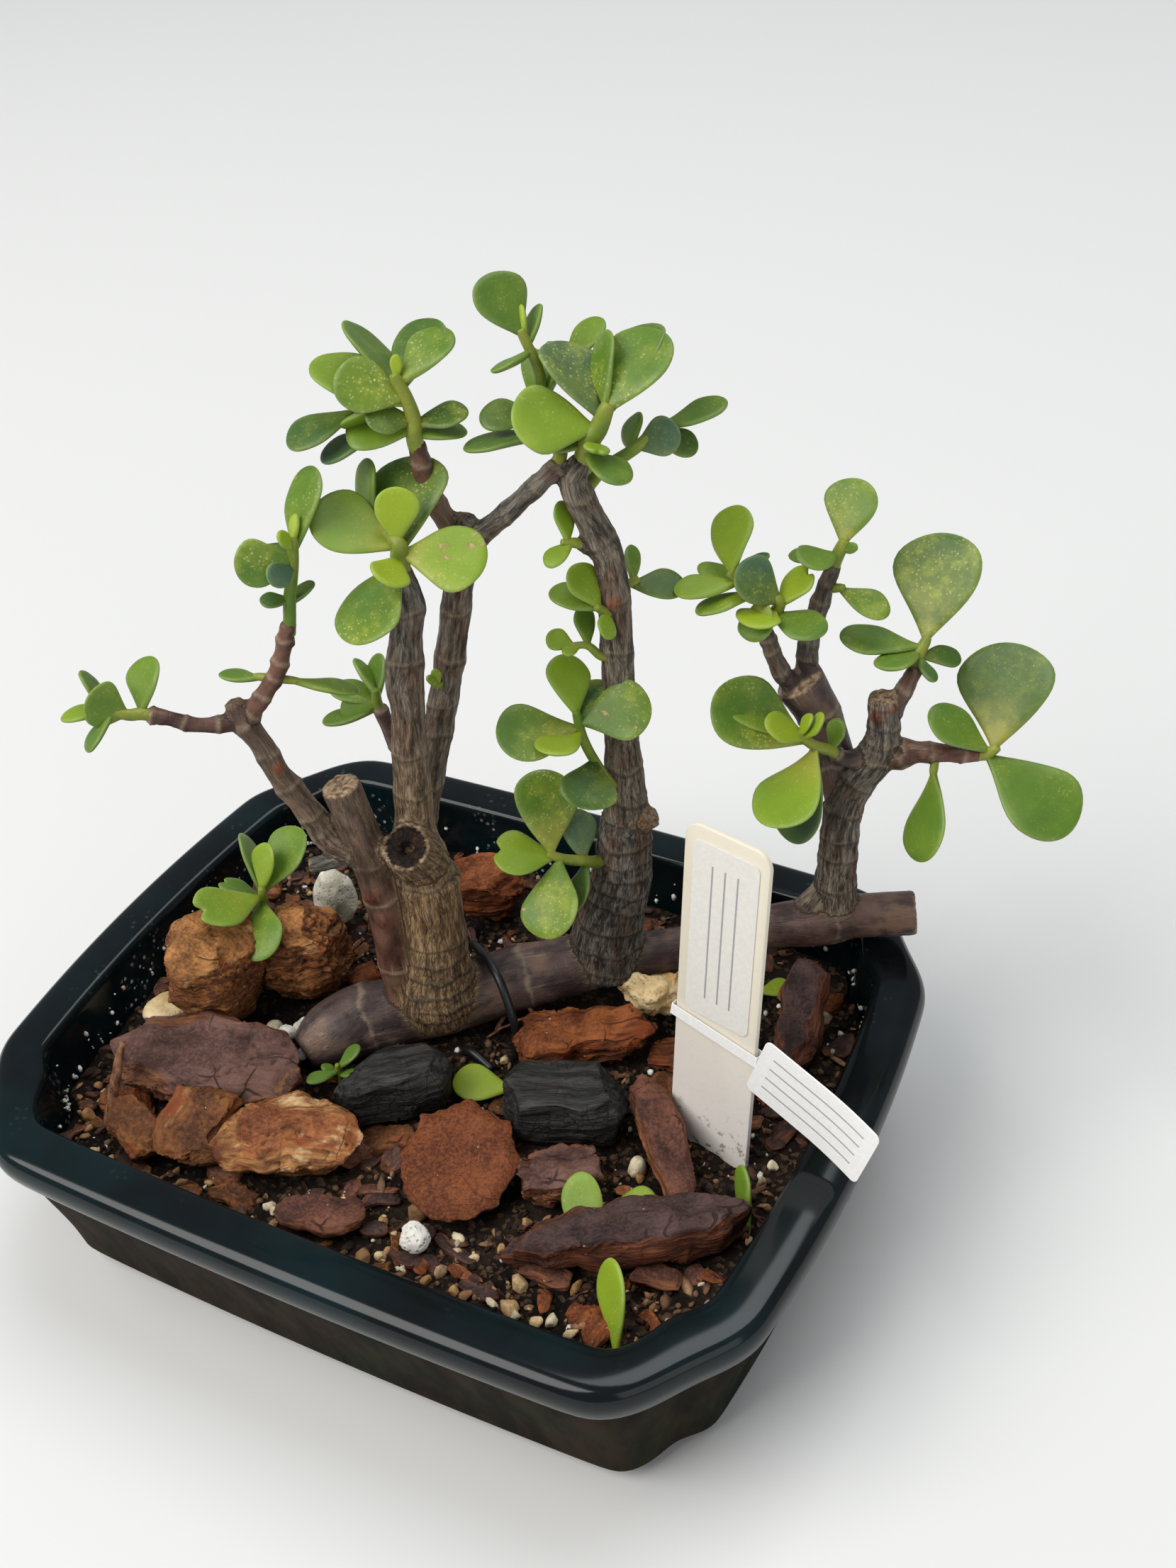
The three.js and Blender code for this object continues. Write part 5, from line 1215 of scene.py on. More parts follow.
SEEDLINGS = [
    ("seedling_left", [[-53.5, 10.5, 25, 1.1], [-51.8, 8.8, 38, 1.1], [-45.3, 2.7, 54.2, 0.9]], [
        (1, 75, 35, 14.7, 10.5, -105, 55, "green"),
        (1, 95, 60, 10, 6.8, -105, 25, "young"),
        (1, 140, 30, 13.3, 7.6, 30, 25, "green"),
        (1, -175, 0, 10, 6.2, 90, 75, "green notched"),
        (1, -112, 14, 15, 10, -75, 60, "young golden notched"),
        (1, -64, -33, 14.1, 10, -80, 50, "green flecked"),
    ]),
    ("seedling_curly", [[-18, -17, 25, 0.7], [-18, -17, 30, 0.7], [-18, -17, 34.5, 0.6]], [
        (1, -125, 0, 6.5, 3, -80, 85, "green"),
        (1, 60, 30, 6, 3.5, -135, 55, "green"),
        (1, 10, -5, 4, 2.5, 15, 85, "green"),
        (1, -180, -10, 4, 2.5, 140, 75, "green"),
    ]),
]
for number, (name, stem, rows) in enumerate(SEEDLINGS):
    dress(leafy_piece(name, [(stem, 0)], rows, 50 + number), leaf_green, "leaf", name)

# The dressing. Pieces of pine bark, two lumps of charcoal, a porous pumice, pale stones and
# perlite lie loose on the soil. Bark breaks along its fibres, into plates with torn edges.

# Name, turn, pitch and lean in degrees as it lies, and its make.
CHIPS = [
    ("bark_disc", 20, 0, 12, "disc"),
    ("charcoal_right", 22, 0, 5, "charcoal"),
    ("charcoal_left", 38, 3, 0, "charcoal"),
    ("bark_strip_long", 33, 0, 0, "dark strip"),
    ("bark_slab_purple", 16, 0, 8, "purple slab"),
    ("bark_nugget_left", 0, 0, 0, "nugget"),
    ("bark_nugget_middle", 52, 0, 0, "block"),
    ("bark_tan", 24, 0, 12, "tan chip"),
    ("bark_stick_diagonal", 131, 12, 0, "red stick"),
    ("bark_chip_middle", 40, 0, 0, "crumbly chip"),
    ("bark_chip_back", 32, 0, 10, "orange chip"),
    ("bark_strip_upright", 100, 26, 0, "dark strip"),
    ("bark_chip_behind", 20, 8, 0, "orange chip"),
    ("bark_chip_left", 98, 20, 0, "russet chip"),
    ("bark_chip_corner", -22, 0, 8, "russet chip"),
    ("bark_chip_front", 18, 0, 0, "red stick"),
    ("pumice", 25, 0, 0, "pumice"),
    ("stone_white", 10, 0, 0, "stone"),
    ("stone_beige", 60, 0, 0, "beige stone"),
    ("perlite_lump", 60, 0, 0, "perlite"),
]

# Steps of smoothing, faces broken off and their share of the depth, then in mm the depth of the
# lumps, wrinkles, fibres and cracks, the size of the plates between cracks and the sway of the
# outline, then the finish.
Make = namedtuple("Make", "steps breaks share lumps wrinkles fibres cracks plates sway finish")
MAKES = {
    "disc": Make(4, 0, 0, 0.2, 0.12, 0, 0, 9, 0.5, "disc"),
    "purple slab": Make(12, 7, 0.14, 0.7, 0.1, 0.08, 0.7, 12, 1.2, "purple"),
    "nugget": Make(16, 7, 0.16, 1.2, 0.3, 0.6, 0.5, 9, 1.2, "orange"),
    "block": Make(6, 11, 0.22, 1, 0.4, 1.1, 0.7, 9, 1.3, "orange"),
    "orange chip": Make(5, 12, 0.26, 0.6, 0.5, 0.9, 0.7, 9, 1.2, "rust"),
    "tan chip": Make(5, 14, 0.24, 0.7, 0.5, 0.7, 0.7, 8, 1.3, "tan"),
    "russet chip": Make(6, 9, 0.22, 0.6, 0.4, 0.7, 0.6, 10, 1.2, "russet"),
    "crumbly chip": Make(6, 12, 0.24, 0.9, 0.8, 0.6, 0.8, 6, 1.2, "purple"),
    "red stick": Make(5, 9, 0.2, 0.4, 0.2, 0.5, 0.4, 10, 0.9, "red"),
    "dark strip": Make(6, 9, 0.2, 0.6, 0.2, 0.35, 0.5, 12, 1.3, "dark"),
    "charcoal": Make(3, 11, 0.24, 0.5, 0.15, 0.4, 0.5, 7, 0.6, "charcoal"),
    "pumice": Make(10, 8, 0.16, 1.1, 0.8, 0.1, 0.3, 3, 1.4, "pumice"),
    "stone": Make(4, 10, 0.26, 0.2, 0.1, 0, 0, 7, 0.6, "stone"),
    "beige stone": Make(8, 6, 0.2, 0.3, 0.05, 0, 0, 7, 0.6, "beige"),
    "perlite": Make(9, 5, 0.16, 0.4, 0.35, 0, 0.2, 2, 0.4, "perlite"),
}
CHIP_VOXEL = 0.55

# The nugget under a leaf of the seedling is pressed down to this share of its node's height.
PRESSED = {"bark_nugget_left": 0.88}

# Dark and light of the weathered face, dark and light of the torn edge, and colour of patches.
BARK_COLOURS = {
    "disc": ("4a2415", "82492a", "351e18", "664037", "5f3427"),
    "purple": ("38251f", "70524a", "4f2e22", "8d5c3b", "9a6d41"),
    "orange": ("643f22", "c0854d", "44281a", "a5683a", "c99c68"),
    "tan": ("5c2f1e", "a7693f", "6b4126", "b98653", "d6b788"),
    "rust": ("4c2414", "9c5a30", "381c12", "8d4c27", "b5793f"),
    "red": ("3b2622", "7c4f3e", "4a2a1d", "96603f", "5b3b31"),
    "russet": ("43281a", "85532f", "3d2316", "93602f", "a87c50"),
    "dark": ("281d1c", "57423f", "43261b", "7d4a33", "6d4029"),
}
CHIP_SLOTS = {
    "charcoal": "charcoal", "pumice": "pumice", "stone": "stone", "beige": "stone",
    "perlite": "perlite", "purple": "bark_chip_dark", "dark": "bark_chip_dark",
}


def bark_chip_finish(name):
    """Dry outer bark: a close weathered face, fibres and thin layers where it has broken, and
    painted shade in its cracks.
    """
    dark, light, edge_dark, edge_light, spot = BARK_COLOURS[name]
    chip = Finish("bark chip, " + name, Specular_IOR_Level=0.2)
    grain = chip.attribute("grain", "Vector")
    crevice_shade, crest, top, broken = chip.numbers("chip_state")
    threads = chip.noise(0.4, 4, 0.7, chip.stretched((9, 1, 1), grain))
    layers = chip.noise(0.45, 3, 0.6, chip.stretched((9, 9, 1), grain))
    grit = chip.noise(0.3, 3, 0.7, grain)
    clouds = chip.noise(4.5, 4, 0.6, grain)
    side = top.between(0.7, 0.35)
    raw = side.math("MAXIMUM", broken * 0.9) * clouds.between(0.25, 0.5)
    raw = raw.math("MAXIMUM", crest.between(0.62, 0.85) * clouds.between(0.48, 0.6) * 0.6)
    if name == "disc":
        threads, raw = chip.noise(0.5, 4, 0.75, grain), side * clouds.between(0.3, 0.6) * 0.6
    fine = (clouds * 0.4 + grit * 0.6) if name == "disc" else (clouds * 0.65 + grit * 0.35)
    face = chip.mix(fine.between(0.36, 0.62), dark, light)
    torn = chip.mix(threads.between(0.34, 0.64), edge_dark, edge_light)
    torn = chip.mix(layers.between(0.55, 0.4) * side * 0.6, torn, edge_dark)
    face = chip.mix(threads.between(0.5, 0.36) * 0.4, face, edge_dark)
    colour = chip.mix(raw, face, torn)
    spots = chip.noise(3, 5, 0.65, chip.stretched((1.8, 1, 1), grain))
    shares = {"disc": (0.62, 0.7, 0.3), "tan": (0.57, 0.66, 0.8), "orange": (0.56, 0.66, 0.7)}
    low, high, share = shares.get(name, (0.62, 0.7, 0.7))
    colour = chip.mix(spots.between(low, high) * share, colour, spot)
    if name in ("tan", "orange", "rust", "russet"):
        red = chip.noise(4, 4, 0.6, chip.stretched((1.5, 1, 1), grain)).between(0.56, 0.66)
        colour = chip.mix(red * 0.75, colour, chip.mix(threads, "4a1f10", "9a4a22"))
    hair = chip.cells(7, chip.noise_shift(grain, 3, 1.2), "DISTANCE_TO_EDGE").between(0.03, 0.012)
    hair = hair * chip.noise(6, 2, 0.5, grain).between(0.5, 0.6) * (1 - raw)
    cracked = 0 if name in ("disc", "tan") else 0.7
    # Painted shade: the cracks and the gaps between fibres are darkened almost to black.
    gaps = (crevice_shade * 0.9).math("MAXIMUM", hair * cracked)
    colour = chip.mix(gaps, colour, "120b09")
    dots = chip.cells(2.3, grain).between(0.1, 0.06) * chip.noise(7, 2).between(0.5, 0.6)
    colour = chip.mix(dots * 0.6, colour, "c9bdac")
    if name == "disc":
        knot = chip.node("ShaderNodeVectorMath", {"operation": "LENGTH"}, {0: grain}, "Value")
        colour = chip.mix(knot.between(0.0011, 0.0008) * 0.7, colour, "8b7d7c")
    height = (threads * 0.9 + layers * side * 0.9) * (0.25 + raw * 0.75) + grit * 0.3 + clouds * 0.4
    return chip.wear(colour, 0.66 + threads * 0.2 - top * 0.05, height - hair * 0.4, 0.45)


def charcoal_finish():
    """Charred wood: black with a silky glint, fine lines where its rings were, and painted shade
    in its cracks.
    """
    coal = Finish("charcoal", Specular_IOR_Level=0.4)
    grain = coal.attribute("grain", "Vector")
    crevice_shade, *_ = coal.numbers("chip_state")
    lines = coal.noise(0.6, 4, 0.7, coal.stretched((12, 1.2, 1), grain), 0.3)
    ash = coal.noise(2.5, 5, 0.7, grain)
    across = coal.cells(3.2, coal.stretched((0.7, 2.2, 2.2), coal.noise_shift(grain, 2, 0.8)),
                        "DISTANCE_TO_EDGE").between(0.03, 0.01)
    across = across * coal.noise(5, 2, 0.5, grain).between(0.5, 0.6)
    colour = coal.mix(lines.between(0.4, 0.66), "080808", "3b3936")
    colour = coal.mix(ash.between(0.6, 0.72) * 0.5, colour, "4c4a48")
    colour = coal.mix(ash.between(0.4, 0.32) * 0.6, colour, "2e2118")
    # Painted shade: the cracks along and across the grain are darkened to black.
    colour = coal.mix(crevice_shade.math("MAXIMUM", across * 0.5), colour, "020202")
    return coal.wear(colour, 0.5 + ash * 0.35, lines * 1.6 + ash * 0.4 - across * 0.8, 0.5)


# Dark and light, size of the pores in mm, how deep they go, which also sets how much painted
# shade darkens them, and roughness.
STONE_COLOURS = {
    "pumice": ("d3a25c", "f7dfab", 1.1, 0.4, 0.85),
    "stone": ("b0a993", "e9e4d3", 0.8, 0.25, 0.6),
    "beige": ("b0935f", "e0cca2", 0.8, 0.15, 0.55),
    "perlite": ("c9c4b8", "f4f2ec", 0.9, 0.5, 0.85),
}


def stone_finish(name):
    """Pale grainy stone with pores that painted shade darkens, stained a little by the soil."""
    dark, light, pore, depth, roughness = STONE_COLOURS[name]
    stone = Finish(name, Roughness=roughness, Specular_IOR_Level=0.3)
    pits = stone.cells(pore).between(0.1, 0.45)
    clouds = stone.noise(3, 5, 0.65)
    colour = stone.mix(clouds.between(0.3, 0.65), dark, light)
    # Painted shade in the pores.
    colour = stone.mix((1 - pits) * depth * 0.7, colour, dark)
    stains = stone.noise(2, 4, 0.7).between(0.6, 0.72)
    colour = stone.mix(stains * 0.45, colour, "6b4d33")
    return stone.wear(colour, height=pits + clouds * 0.6, depth=0.5 * depth)


finishes = {name: bark_chip_finish(name) for name in BARK_COLOURS}
finishes |= {name: stone_finish(name) for name in STONE_COLOURS}
finishes["charcoal"] = charcoal_finish()

# Without a seed, noise_vector takes its directions from the clock and differs on each run.
CHIP_SEED = 5
noise.seed_set(CHIP_SEED)


def lying(turn, pitch, lean):
    """A chip's own axes as it lies, X along its fibres, one to a column."""
    turned = Matrix.Rotation(math.radians(turn), 3, "Z")
    turned = turned @ Matrix.Rotation(math.radians(-pitch), 3, "Y")
    return np.array(turned @ Matrix.Rotation(math.radians(lean), 3, "X"))


def broken(local, seed, count, share):
    """Breaks flat faces off a chip given in its own axes: new points, and how broken each is."""
    draw = np.random.default_rng(seed + 300)
    size = half_sizes(local)
    shape, torn = local / size, np.zeros(len(local))
    for _ in range(count):
        facing = draw.normal(size=3) * [1, 1, 0.5]
        facing /= np.linalg.norm(facing)
        reach = shape @ facing
        beyond = reach - reach.max() * draw.uniform(1 - share, 0.97)
        shape = shape - np.clip(beyond, 0, None)[:, None] * facing
        torn = np.maximum(torn, np.clip(beyond * 30, 0, 1))
    return shape * size, torn


def weathered(local, normals, torn, make, seed):
    """Roughens a chip given in its own axes: new points and the values of its attributes."""
    shift = Vector((13.7, 5.1, 2.3)) * seed
    moved, state = [], []
    for spot, normal, freshly in zip(local, normals, torn):
        at = Vector(spot) + shift
        broad = noise.noise(at / 6)
        rough = noise.turbulence(at / 2.6, 3, False) - 0.45
        side = 1 - min(1, abs(normal[2]) / 0.7)
        raw = max(side, freshly)
        thread = 1 - abs(noise.noise(Vector((at.x / 9, at.y / 0.9, at.z / 0.9)))) / 0.2
        thread = max(0, thread) * (0.35 + 0.65 * raw)
        sway_here = noise.noise_vector(at / 1.3) * 0.12
        cell = Vector((at.x / 1.8, at.y, at.z)) / make.plates
        gaps, middles = noise.voronoi(cell + sway_here)
        crack = max(0, 1 - (gaps[1] - gaps[0]) / 0.06) * noise.cell(middles[0] * 3.1)
        layer = noise.noise(Vector((at.x / 9, at.y / 9, at.z / 0.8))) * side
        height = make.lumps * 0.6 * broad + make.wrinkles * rough
        height = height - make.fibres * thread * 0.5 - make.cracks * crack
        height += make.fibres * 0.6 * layer
        bent = noise.noise_vector(at / 5) * make.sway
        moved.append(Vector(spot) + Vector(normal) * height + bent)
        # How much painted shade darkens each point: in its cracks, and between its fibres.
        crevice_shade = min(1, crack * (0.4 + 0.6 * make.cracks) + 0.4 * thread * make.fibres)
        state.append((crevice_shade, 0.5 + 0.5 * broad + 0.5 * rough, abs(normal[2]), freshly))
    return np.array(moved), {"chip_state": np.array(state), "grain": np.array(local) * MM}


def half_sizes(points):
    return np.maximum((points.max(0) - points.min(0)) / 2, 0.1)


def edited(piece, operator, **settings):
    """The piece after one operator of edit mode has run on all of it."""
    select(piece)
    bpy.ops.object.mode_set(mode="EDIT")
    bpy.ops.mesh.select_all(action="SELECT")
    operator(**settings)
    bpy.ops.object.mode_set(mode="OBJECT")
    return piece


def chip_piece(number, name, turn, pitch, lean, kind):
    """A copy of a chip's node, broken and weathered, in the space that the node fills."""
    make = MAKES[kind]
    chip = new_object("real_" + name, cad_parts[name].data.copy())
    edited(chip, bpy.ops.mesh.remove_doubles, threshold=0.01 * MM)
    axes = lying(turn, pitch, lean)
    middle = points_of(chip).mean(0)
    full = half_sizes((points_of(chip) - middle) @ axes)
    modified(chip, "REMESH", mode="VOXEL", voxel_size=CHIP_VOXEL * MM)
    modified(chip, "SMOOTH", factor=0.5, iterations=make.steps)
    local = (points_of(chip) - middle) @ axes
    if kind == "disc":
        around = np.arctan2(local[:, 1], local[:, 0])
        ragged = [noise.noise(Vector((math.cos(a) * 6, math.sin(a) * 6, 2))) for a in around]
        edge = 0.07 * np.cos(4 * around) + 0.015 * np.sin(9 * around) + 0.05 * np.array(ragged)
        local[:, :2] *= 1 + edge[:, None]
    local, torn = broken(local, number, make.breaks, make.share)
    put_points(chip, local @ axes.T + middle)
    local, layers = weathered(local, normals_of(chip) @ axes, torn, make, number)
    pressed = PRESSED.get(name, 1)
    local *= full / half_sizes(local) * [1, 1, pressed]
    put_points(chip, local @ axes.T + middle - [0, 0, full[2] * (1 - pressed)])
    for layer, values in layers.items():
        add_attribute(chip, layer, values)
    chip.data.shade_smooth()
    slot = CHIP_SLOTS.get(make.finish, "bark_chip_brown")
    return dress(chip, finishes[make.finish], slot, name)


for number, chip in enumerate(CHIPS):
    chip_piece(number, *chip)

# The fallen leaves. Leaves that have dropped and still live: some lie flat, others stand in the
# soil with their round ends up. Each is set on the height that its node has.

# Name, where its foot is, azimuth, rise, length, width, azimuth and rise of the face, and look.
LOOSE_LEAVES = [
    ("loose_leaf_1", (13.2, -5.1), (-160, 8, 11.5, 8, -100, 75, "lime")),
    ("loose_leaf_2", (37.5, -23), (-60, -38, 15, 7.5, -90, 50, "young")),
    ("loose_leaf_3", (42.6, -23.4), (30, 8, 9, 7, -90, 72, "young")),
    ("loose_leaf_4", (50.5, -37.5), (-62, -39, 15.5, 7, -140, 45, "young")),
    ("loose_leaf_5", (62, -9), (-60, -40, 11.5, 5, -150, 30, "green")),
    ("loose_leaf_6", (46.3, 37), (40, 0, 7, 4, -90, 70, "lime")),
]
UPRIGHT_RISE = -30
for number, (name, (x, y), (azimuth, rise, length, *form)) in enumerate(LOOSE_LEAVES):
    foot = np.array([x, y, 0.0])
    tip = foot + direction(azimuth, rise) * length
    if rise < UPRIGHT_RISE:
        foot, tip = tip, foot
    leaf = leaf_mesh(foot, tip, *form, random.Random(70 + number))
    leaf[0][:, 2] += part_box(name)[1].z / MM - leaf[0][:, 2].max()
    dress(joined("fallen_" + name, [leaf]), leaf_green, "leaf", name)

# The litter. Shards of bark, twigs and roots, pebbles, grains of perlite and crumbs of peat that
# lie between the larger pieces, where watering has left them. Some perlite clings to the wall.

# Where each shard lies, its length, width and thickness in mm, its turn in degrees and its make.
SHARDS = [
    (-6.5, -29, 13, 8, 3.5, 30, "red stick"), (24, -16.5, 9, 7, 3, 20, "crumbly chip"),
    (38.6, -39.8, 13, 5, 3, 10, "red stick"), (57, -32.5, 9, 6, 3, 15, "red stick"),
    (52, -45.5, 8, 7, 3, 60, "orange chip"), (13, 14.5, 13, 3, 2.5, 38, "orange chip"),
    (37, 15.5, 12, 8, 4, 30, "orange chip"), (21.5, -41, 10, 3, 2, -10, "dark strip"),
    (26, -45, 10, 2.5, 1.8, -5, "tan chip"), (47.5, -18.5, 12, 2.5, 1.6, 0, "tan chip"),
    (1, -36, 12, 2.4, 1.8, 27, "red stick"), (4, -38, 10, 2, 1.6, 32, "dark strip"),
    (-27, -43, 10, 7, 3, 15, "red stick"), (-52, -38, 11, 8, 4, -30, "orange chip"),
    (-57, -33, 8, 6, 3, 50, "dark strip"), (-22, 46, 14, 9, 5, 10, "orange chip"),
    (-36, 50, 9, 6, 3, 40, "tan chip"), (-30, 33, 10, 7, 4, 40, "red stick"),
    (0, 44, 12, 8, 4, -20, "orange chip"), (15, 45, 10, 7, 3, 35, "dark strip"),
    (35, 47, 11, 6, 3, 5, "red stick"), (60, 40, 8, 6, 3, 70, "orange chip"),
    (66, 10, 9, 6, 3, 80, "red stick"), (64, -18, 8, 5, 3, -20, "dark strip"),
    (-64, 25, 8, 6, 4, 30, "red stick"), (-30, 10, 9, 7, 4, 60, "orange chip"),
    (42, -31, 8, 5, 3, 40, "tan chip"), (-34, -31, 9, 5, 3, -20, "dark strip"),
    (45, 4, 11, 7, 3.5, 100, "crumbly chip"), (-62, -24, 8, 5, 3, 80, "red stick"),
    (-57, -37, 12, 8, 4, -50, "russet chip"), (-21, -47.5, 11, 5, 3, 12, "russet chip"),
    (-2, -24.5, 10, 7, 4, 30, "russet chip"), (2, -28, 8, 6, 4, 60, "crumbly chip"),
    (23, 2, 12, 6, 3.5, 20, "orange chip"), (40, 6, 11, 8, 5, 70, "russet chip"),
    (-30, -18, 8, 5, 4, 50, "russet chip"), (34, -36.5, 13, 6, 3.5, 35, "dark strip"),
    (-8, -41.5, 9, 3, 2, 20, "dark strip"), (17, -46, 12, 3, 2, 5, "dark strip"),
]
RANDOM_SHARDS = 250
SMALL_MAKES = [
    "red stick", "orange chip", "dark strip", "dark strip", "crumbly chip", "russet chip",
]
SPILL_PLACE = (-34, -11.5, 31.2)
GRAVEL_FRONT = -36
GRAVEL_ELSEWHERE = 130
WALL_GRAINS = 190

# Heights on the inner wall of the pot, and its inset from the lip there.
WALL_HEIGHTS = [26, 31, 34, 37]
WALL_INSETS = [12.6, 11.6, 11, 10.5]
PERLITE_SPILL = [
    (0, 0, 0.8), (3.4, 0.6, -0.2), (-3.1, 0.4, -0.5), (0.4, 3, -0.3), (0, -3, -0.4), (2.6, 2.9, 0.8),
    (-5.2, -1.8, -1.2), (4.6, -2.6, -1), (6.4, 0.2, -0.6), (2, -5, -1.2),
]
PEBBLES = [
    (6.7, -41.3), (11.3, -37.6), (-12.4, -47.5), (-2.9, -40.3), (-10.8, -43.9), (10.4, -48),
    (7.2, -49.4), (30.5, -31.3), (35.5, -43.2), (36.6, -48.3), (41.5, -48.7), (43.8, -47.1),
    (25.5, -48.6), (27.8, -48.7), (20.3, -49.2), (21.4, -46.3), (-32.3, -49.2), (-59, -43.2),
    (65.4, -2.4), (64.8, -6.1), (60.3, 32.1), (60.6, 36.3), (50.6, 39.1), (42.6, -12.4),
    (44.5, -14.1), (17.5, 3.5), (8.4, 0.8),
]
ROOTS = [
    [[2.9, 7.2, 29, 0.55], [3.3, 10.3, 32.2, 0.5], [6, 12.6, 33.8, 0.45], [9.6, 10.8, 33.6, 0.4],
     [10.6, 7, 32, 0.35], [9.8, 4.2, 29, 0.3]],
    [[12, 9.5, 29, 0.4], [9.4, 11.3, 32.4, 0.35], [5.4, 8.6, 31.8, 0.3], [1.5, 5.5, 29, 0.25]],
    [[-54.6, -43.1, 27, 1.2], [-54.3, -41.6, 32, 1.1], [-53.5, -38.6, 38.5, 1],
     [-52.8, -35.2, 45, 0.6]],
]

BED_INSET = SOIL_INSET + 0.6
SKY = 50
bed_edge = pot_outline(BED_INSET)
wedges = np.abs(np.cross(bed_edge, np.roll(bed_edge, -1, 0)))


def tree_of(nodes):
    """The faces of some nodes, for a look straight down on them."""
    points, faces, first = [], [], 0
    for node in nodes:
        points += [Vector(p) for p in points_of(node)]
        faces += [[first + v for v in face.vertices] for face in node.data.polygons]
        first = len(points)
    return BVHTree.FromPolygons(points, faces)


cover = tree_of(node for name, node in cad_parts.items() if name not in ("pot", "soil"))
chip_tops = tree_of(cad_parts[name] for name, *_ in CHIPS)


def bed_spots(count, seed, on_top=0.0):
    """Seeded places on the bare soil, as [x, y, z]. A share of those that chips cover lie on
    the chips, and the rest of those are left out."""
    draw = np.random.default_rng(seed)
    picked = draw.choice(len(bed_edge), count, p=wedges / wedges.sum())
    places = bed_edge[picked] * np.sqrt(draw.random(count))[:, None]
    down = Vector((0, 0, -1))
    kept = []
    for (x, y), chance in zip(places, draw.random(count)):
        above, level = Vector((x, y, SKY)), soil_height(x, y)
        hit = cover.ray_cast(above, down)[0]
        if hit is None or hit.z <= level + 0.4:
            kept.append((x, y, level))
        elif chance < on_top and chip_tops.ray_cast(above, down)[0]:
            kept.append((x, y, hit.z))
    return np.array(kept)


def turned_at_random(draw, count, tilt):
    """Rotations about Z by any angle, then leaned by up to tilt radians."""
    a, b, c = draw.uniform(0, 2 * math.pi, count), *draw.uniform(-tilt, tilt, (2, count))
    zero, one = np.zeros(count), np.ones(count)
    spin = np.array([[np.cos(a), -np.sin(a), zero], [np.sin(a), np.cos(a), zero], [zero, zero, one]])
    roll = np.array([[one, zero, zero], [zero, np.cos(b), -np.sin(b)], [zero, np.sin(b), np.cos(b)]])
    dip = np.array([[np.cos(c), zero, np.sin(c)], [zero, one, zero], [-np.sin(c), zero, np.cos(c)]])
    return np.einsum("ijn,jkn,kln->nil", spin, roll, dip)


def pebble_shape(fineness):
    """Points and faces of a ball that grains are copied from."""
    bpy.ops.object.select_all(action="DESELECT")
    bpy.ops.mesh.primitive_ico_sphere_add(subdivisions=fineness, radius=MM)
    ball = bpy.context.object
    points, faces = points_of(ball), [tuple(p.vertices) for p in ball.data.polygons]
    bpy.data.objects.remove(ball)
    return points, np.array(faces)


def grains(name, spots, finish, slot, seed, size, flat=0.7, long=1.0, tilt=3.0, fineness=1, cuts=0):
    """One piece of many grains, each turned its own way and with its own shade. Size is the
    smallest and largest radius in millimetres. Cuts breaks that many flat faces on a grain, and
    without them it is lumpy."""
    draw = np.random.default_rng(seed)
    ball, faces = pebble_shape(fineness)
    ball = broken(ball, seed, cuts, 0.45)[0]
    count = len(spots)
    radius = size[0] + (size[1] - size[0]) * draw.random(count) ** 2
    scale = radius[:, None] * draw.uniform(0.75, 1.2, (count, 3)) * [long, 1, flat]
    least, most = (0.97, 1.03) if cuts else (0.78, 1.18)
    lumps = draw.uniform(least, most, (count, len(ball), 1))
    turns = turned_at_random(draw, count, tilt)
    points = np.einsum("nij,npj->npi", turns, ball * lumps * scale[:, None])
    points = points + (spots + [0, 0, 0.3] * radius[:, None])[:, None]
    shades = np.repeat(draw.random(count), len(ball))
    all_faces = (faces + len(ball) * np.arange(count)[:, None, None]).reshape(-1, 3)
    piece = mesh_piece(name, points.reshape(-1, 3), all_faces.tolist())
    add_attribute(piece, "grain_shade", shades)
    return dress(piece, finish, slot)


def grain_finish(name, colours, size, roughness=0.85):
    """Grains that go from one colour to the next by their own shade."""
    grain = Finish(name, Specular_IOR_Level=0.25)
    shade = grain.attribute("grain_shade")
    colour = colours[0]
    for number, code in enumerate(colours[1:]):
        edge = (number + 1) / len(colours)
        colour = grain.mix(shade.between(edge - 0.05, edge + 0.05), colour, code)
    rough = grain.noise(size, 4, 0.7)
    colour = grain.mix(rough.between(0.4, 0.7) * 0.45, colour, "1d130d")
    return grain.wear(colour, roughness + rough * 0.1, rough, 0.3)


def shard(x, y, length, width, thick, turn, make, seed):
    """A small piece of bark: a squared-off ball, roughened as the large ones are."""
    draw = random.Random(seed)
    ball, faces = pebble_shape(4 if length > 9 else 3 if length > 5 else 2)
    blunt = ball / (np.abs(ball) ** 4).sum(1, keepdims=True) ** 0.25
    half = np.array([length, width, thick]) / 2
    tips = 1 - 0.35 * draw.random() * np.abs(blunt[:, :1]) - 0.2 * draw.random() * blunt[:, :1]
    local, torn = broken(blunt * half * tips, seed, 7, 0.3)
    local, layers = weathered(local, ball, torn, MAKES[make], seed)
    axes = lying(turn, draw.uniform(-9, 9), draw.uniform(-9, 9))
    level = soil_height(x, y) + 0.22 * thick
    return local @ axes.T + [x, y, level], [tuple(f) for f in faces.tolist()], layers


draw = random.Random(8)
shards = list(SHARDS)
for x, y, _ in bed_spots(2 * RANDOM_SHARDS, 17)[:RANDOM_SHARDS]:
    length = draw.uniform(2.5, 8.5)
    make = draw.choice(SMALL_MAKES)
    width, thick = length * draw.uniform(0.3, 0.75), draw.uniform(1, 2.2)
    shards.append((x, y, length, width, thick, draw.uniform(0, 180), make))
for colour in BARK_COLOURS:
    of_colour = [(i, row) for i, row in enumerate(shards) if MAKES[row[-1]].finish == colour]
    if of_colour:
        parts = [shard(*row, 40 + i) for i, row in of_colour]
        dress(joined("shards_" + colour, parts), finishes[colour], "bark_chip_brown")

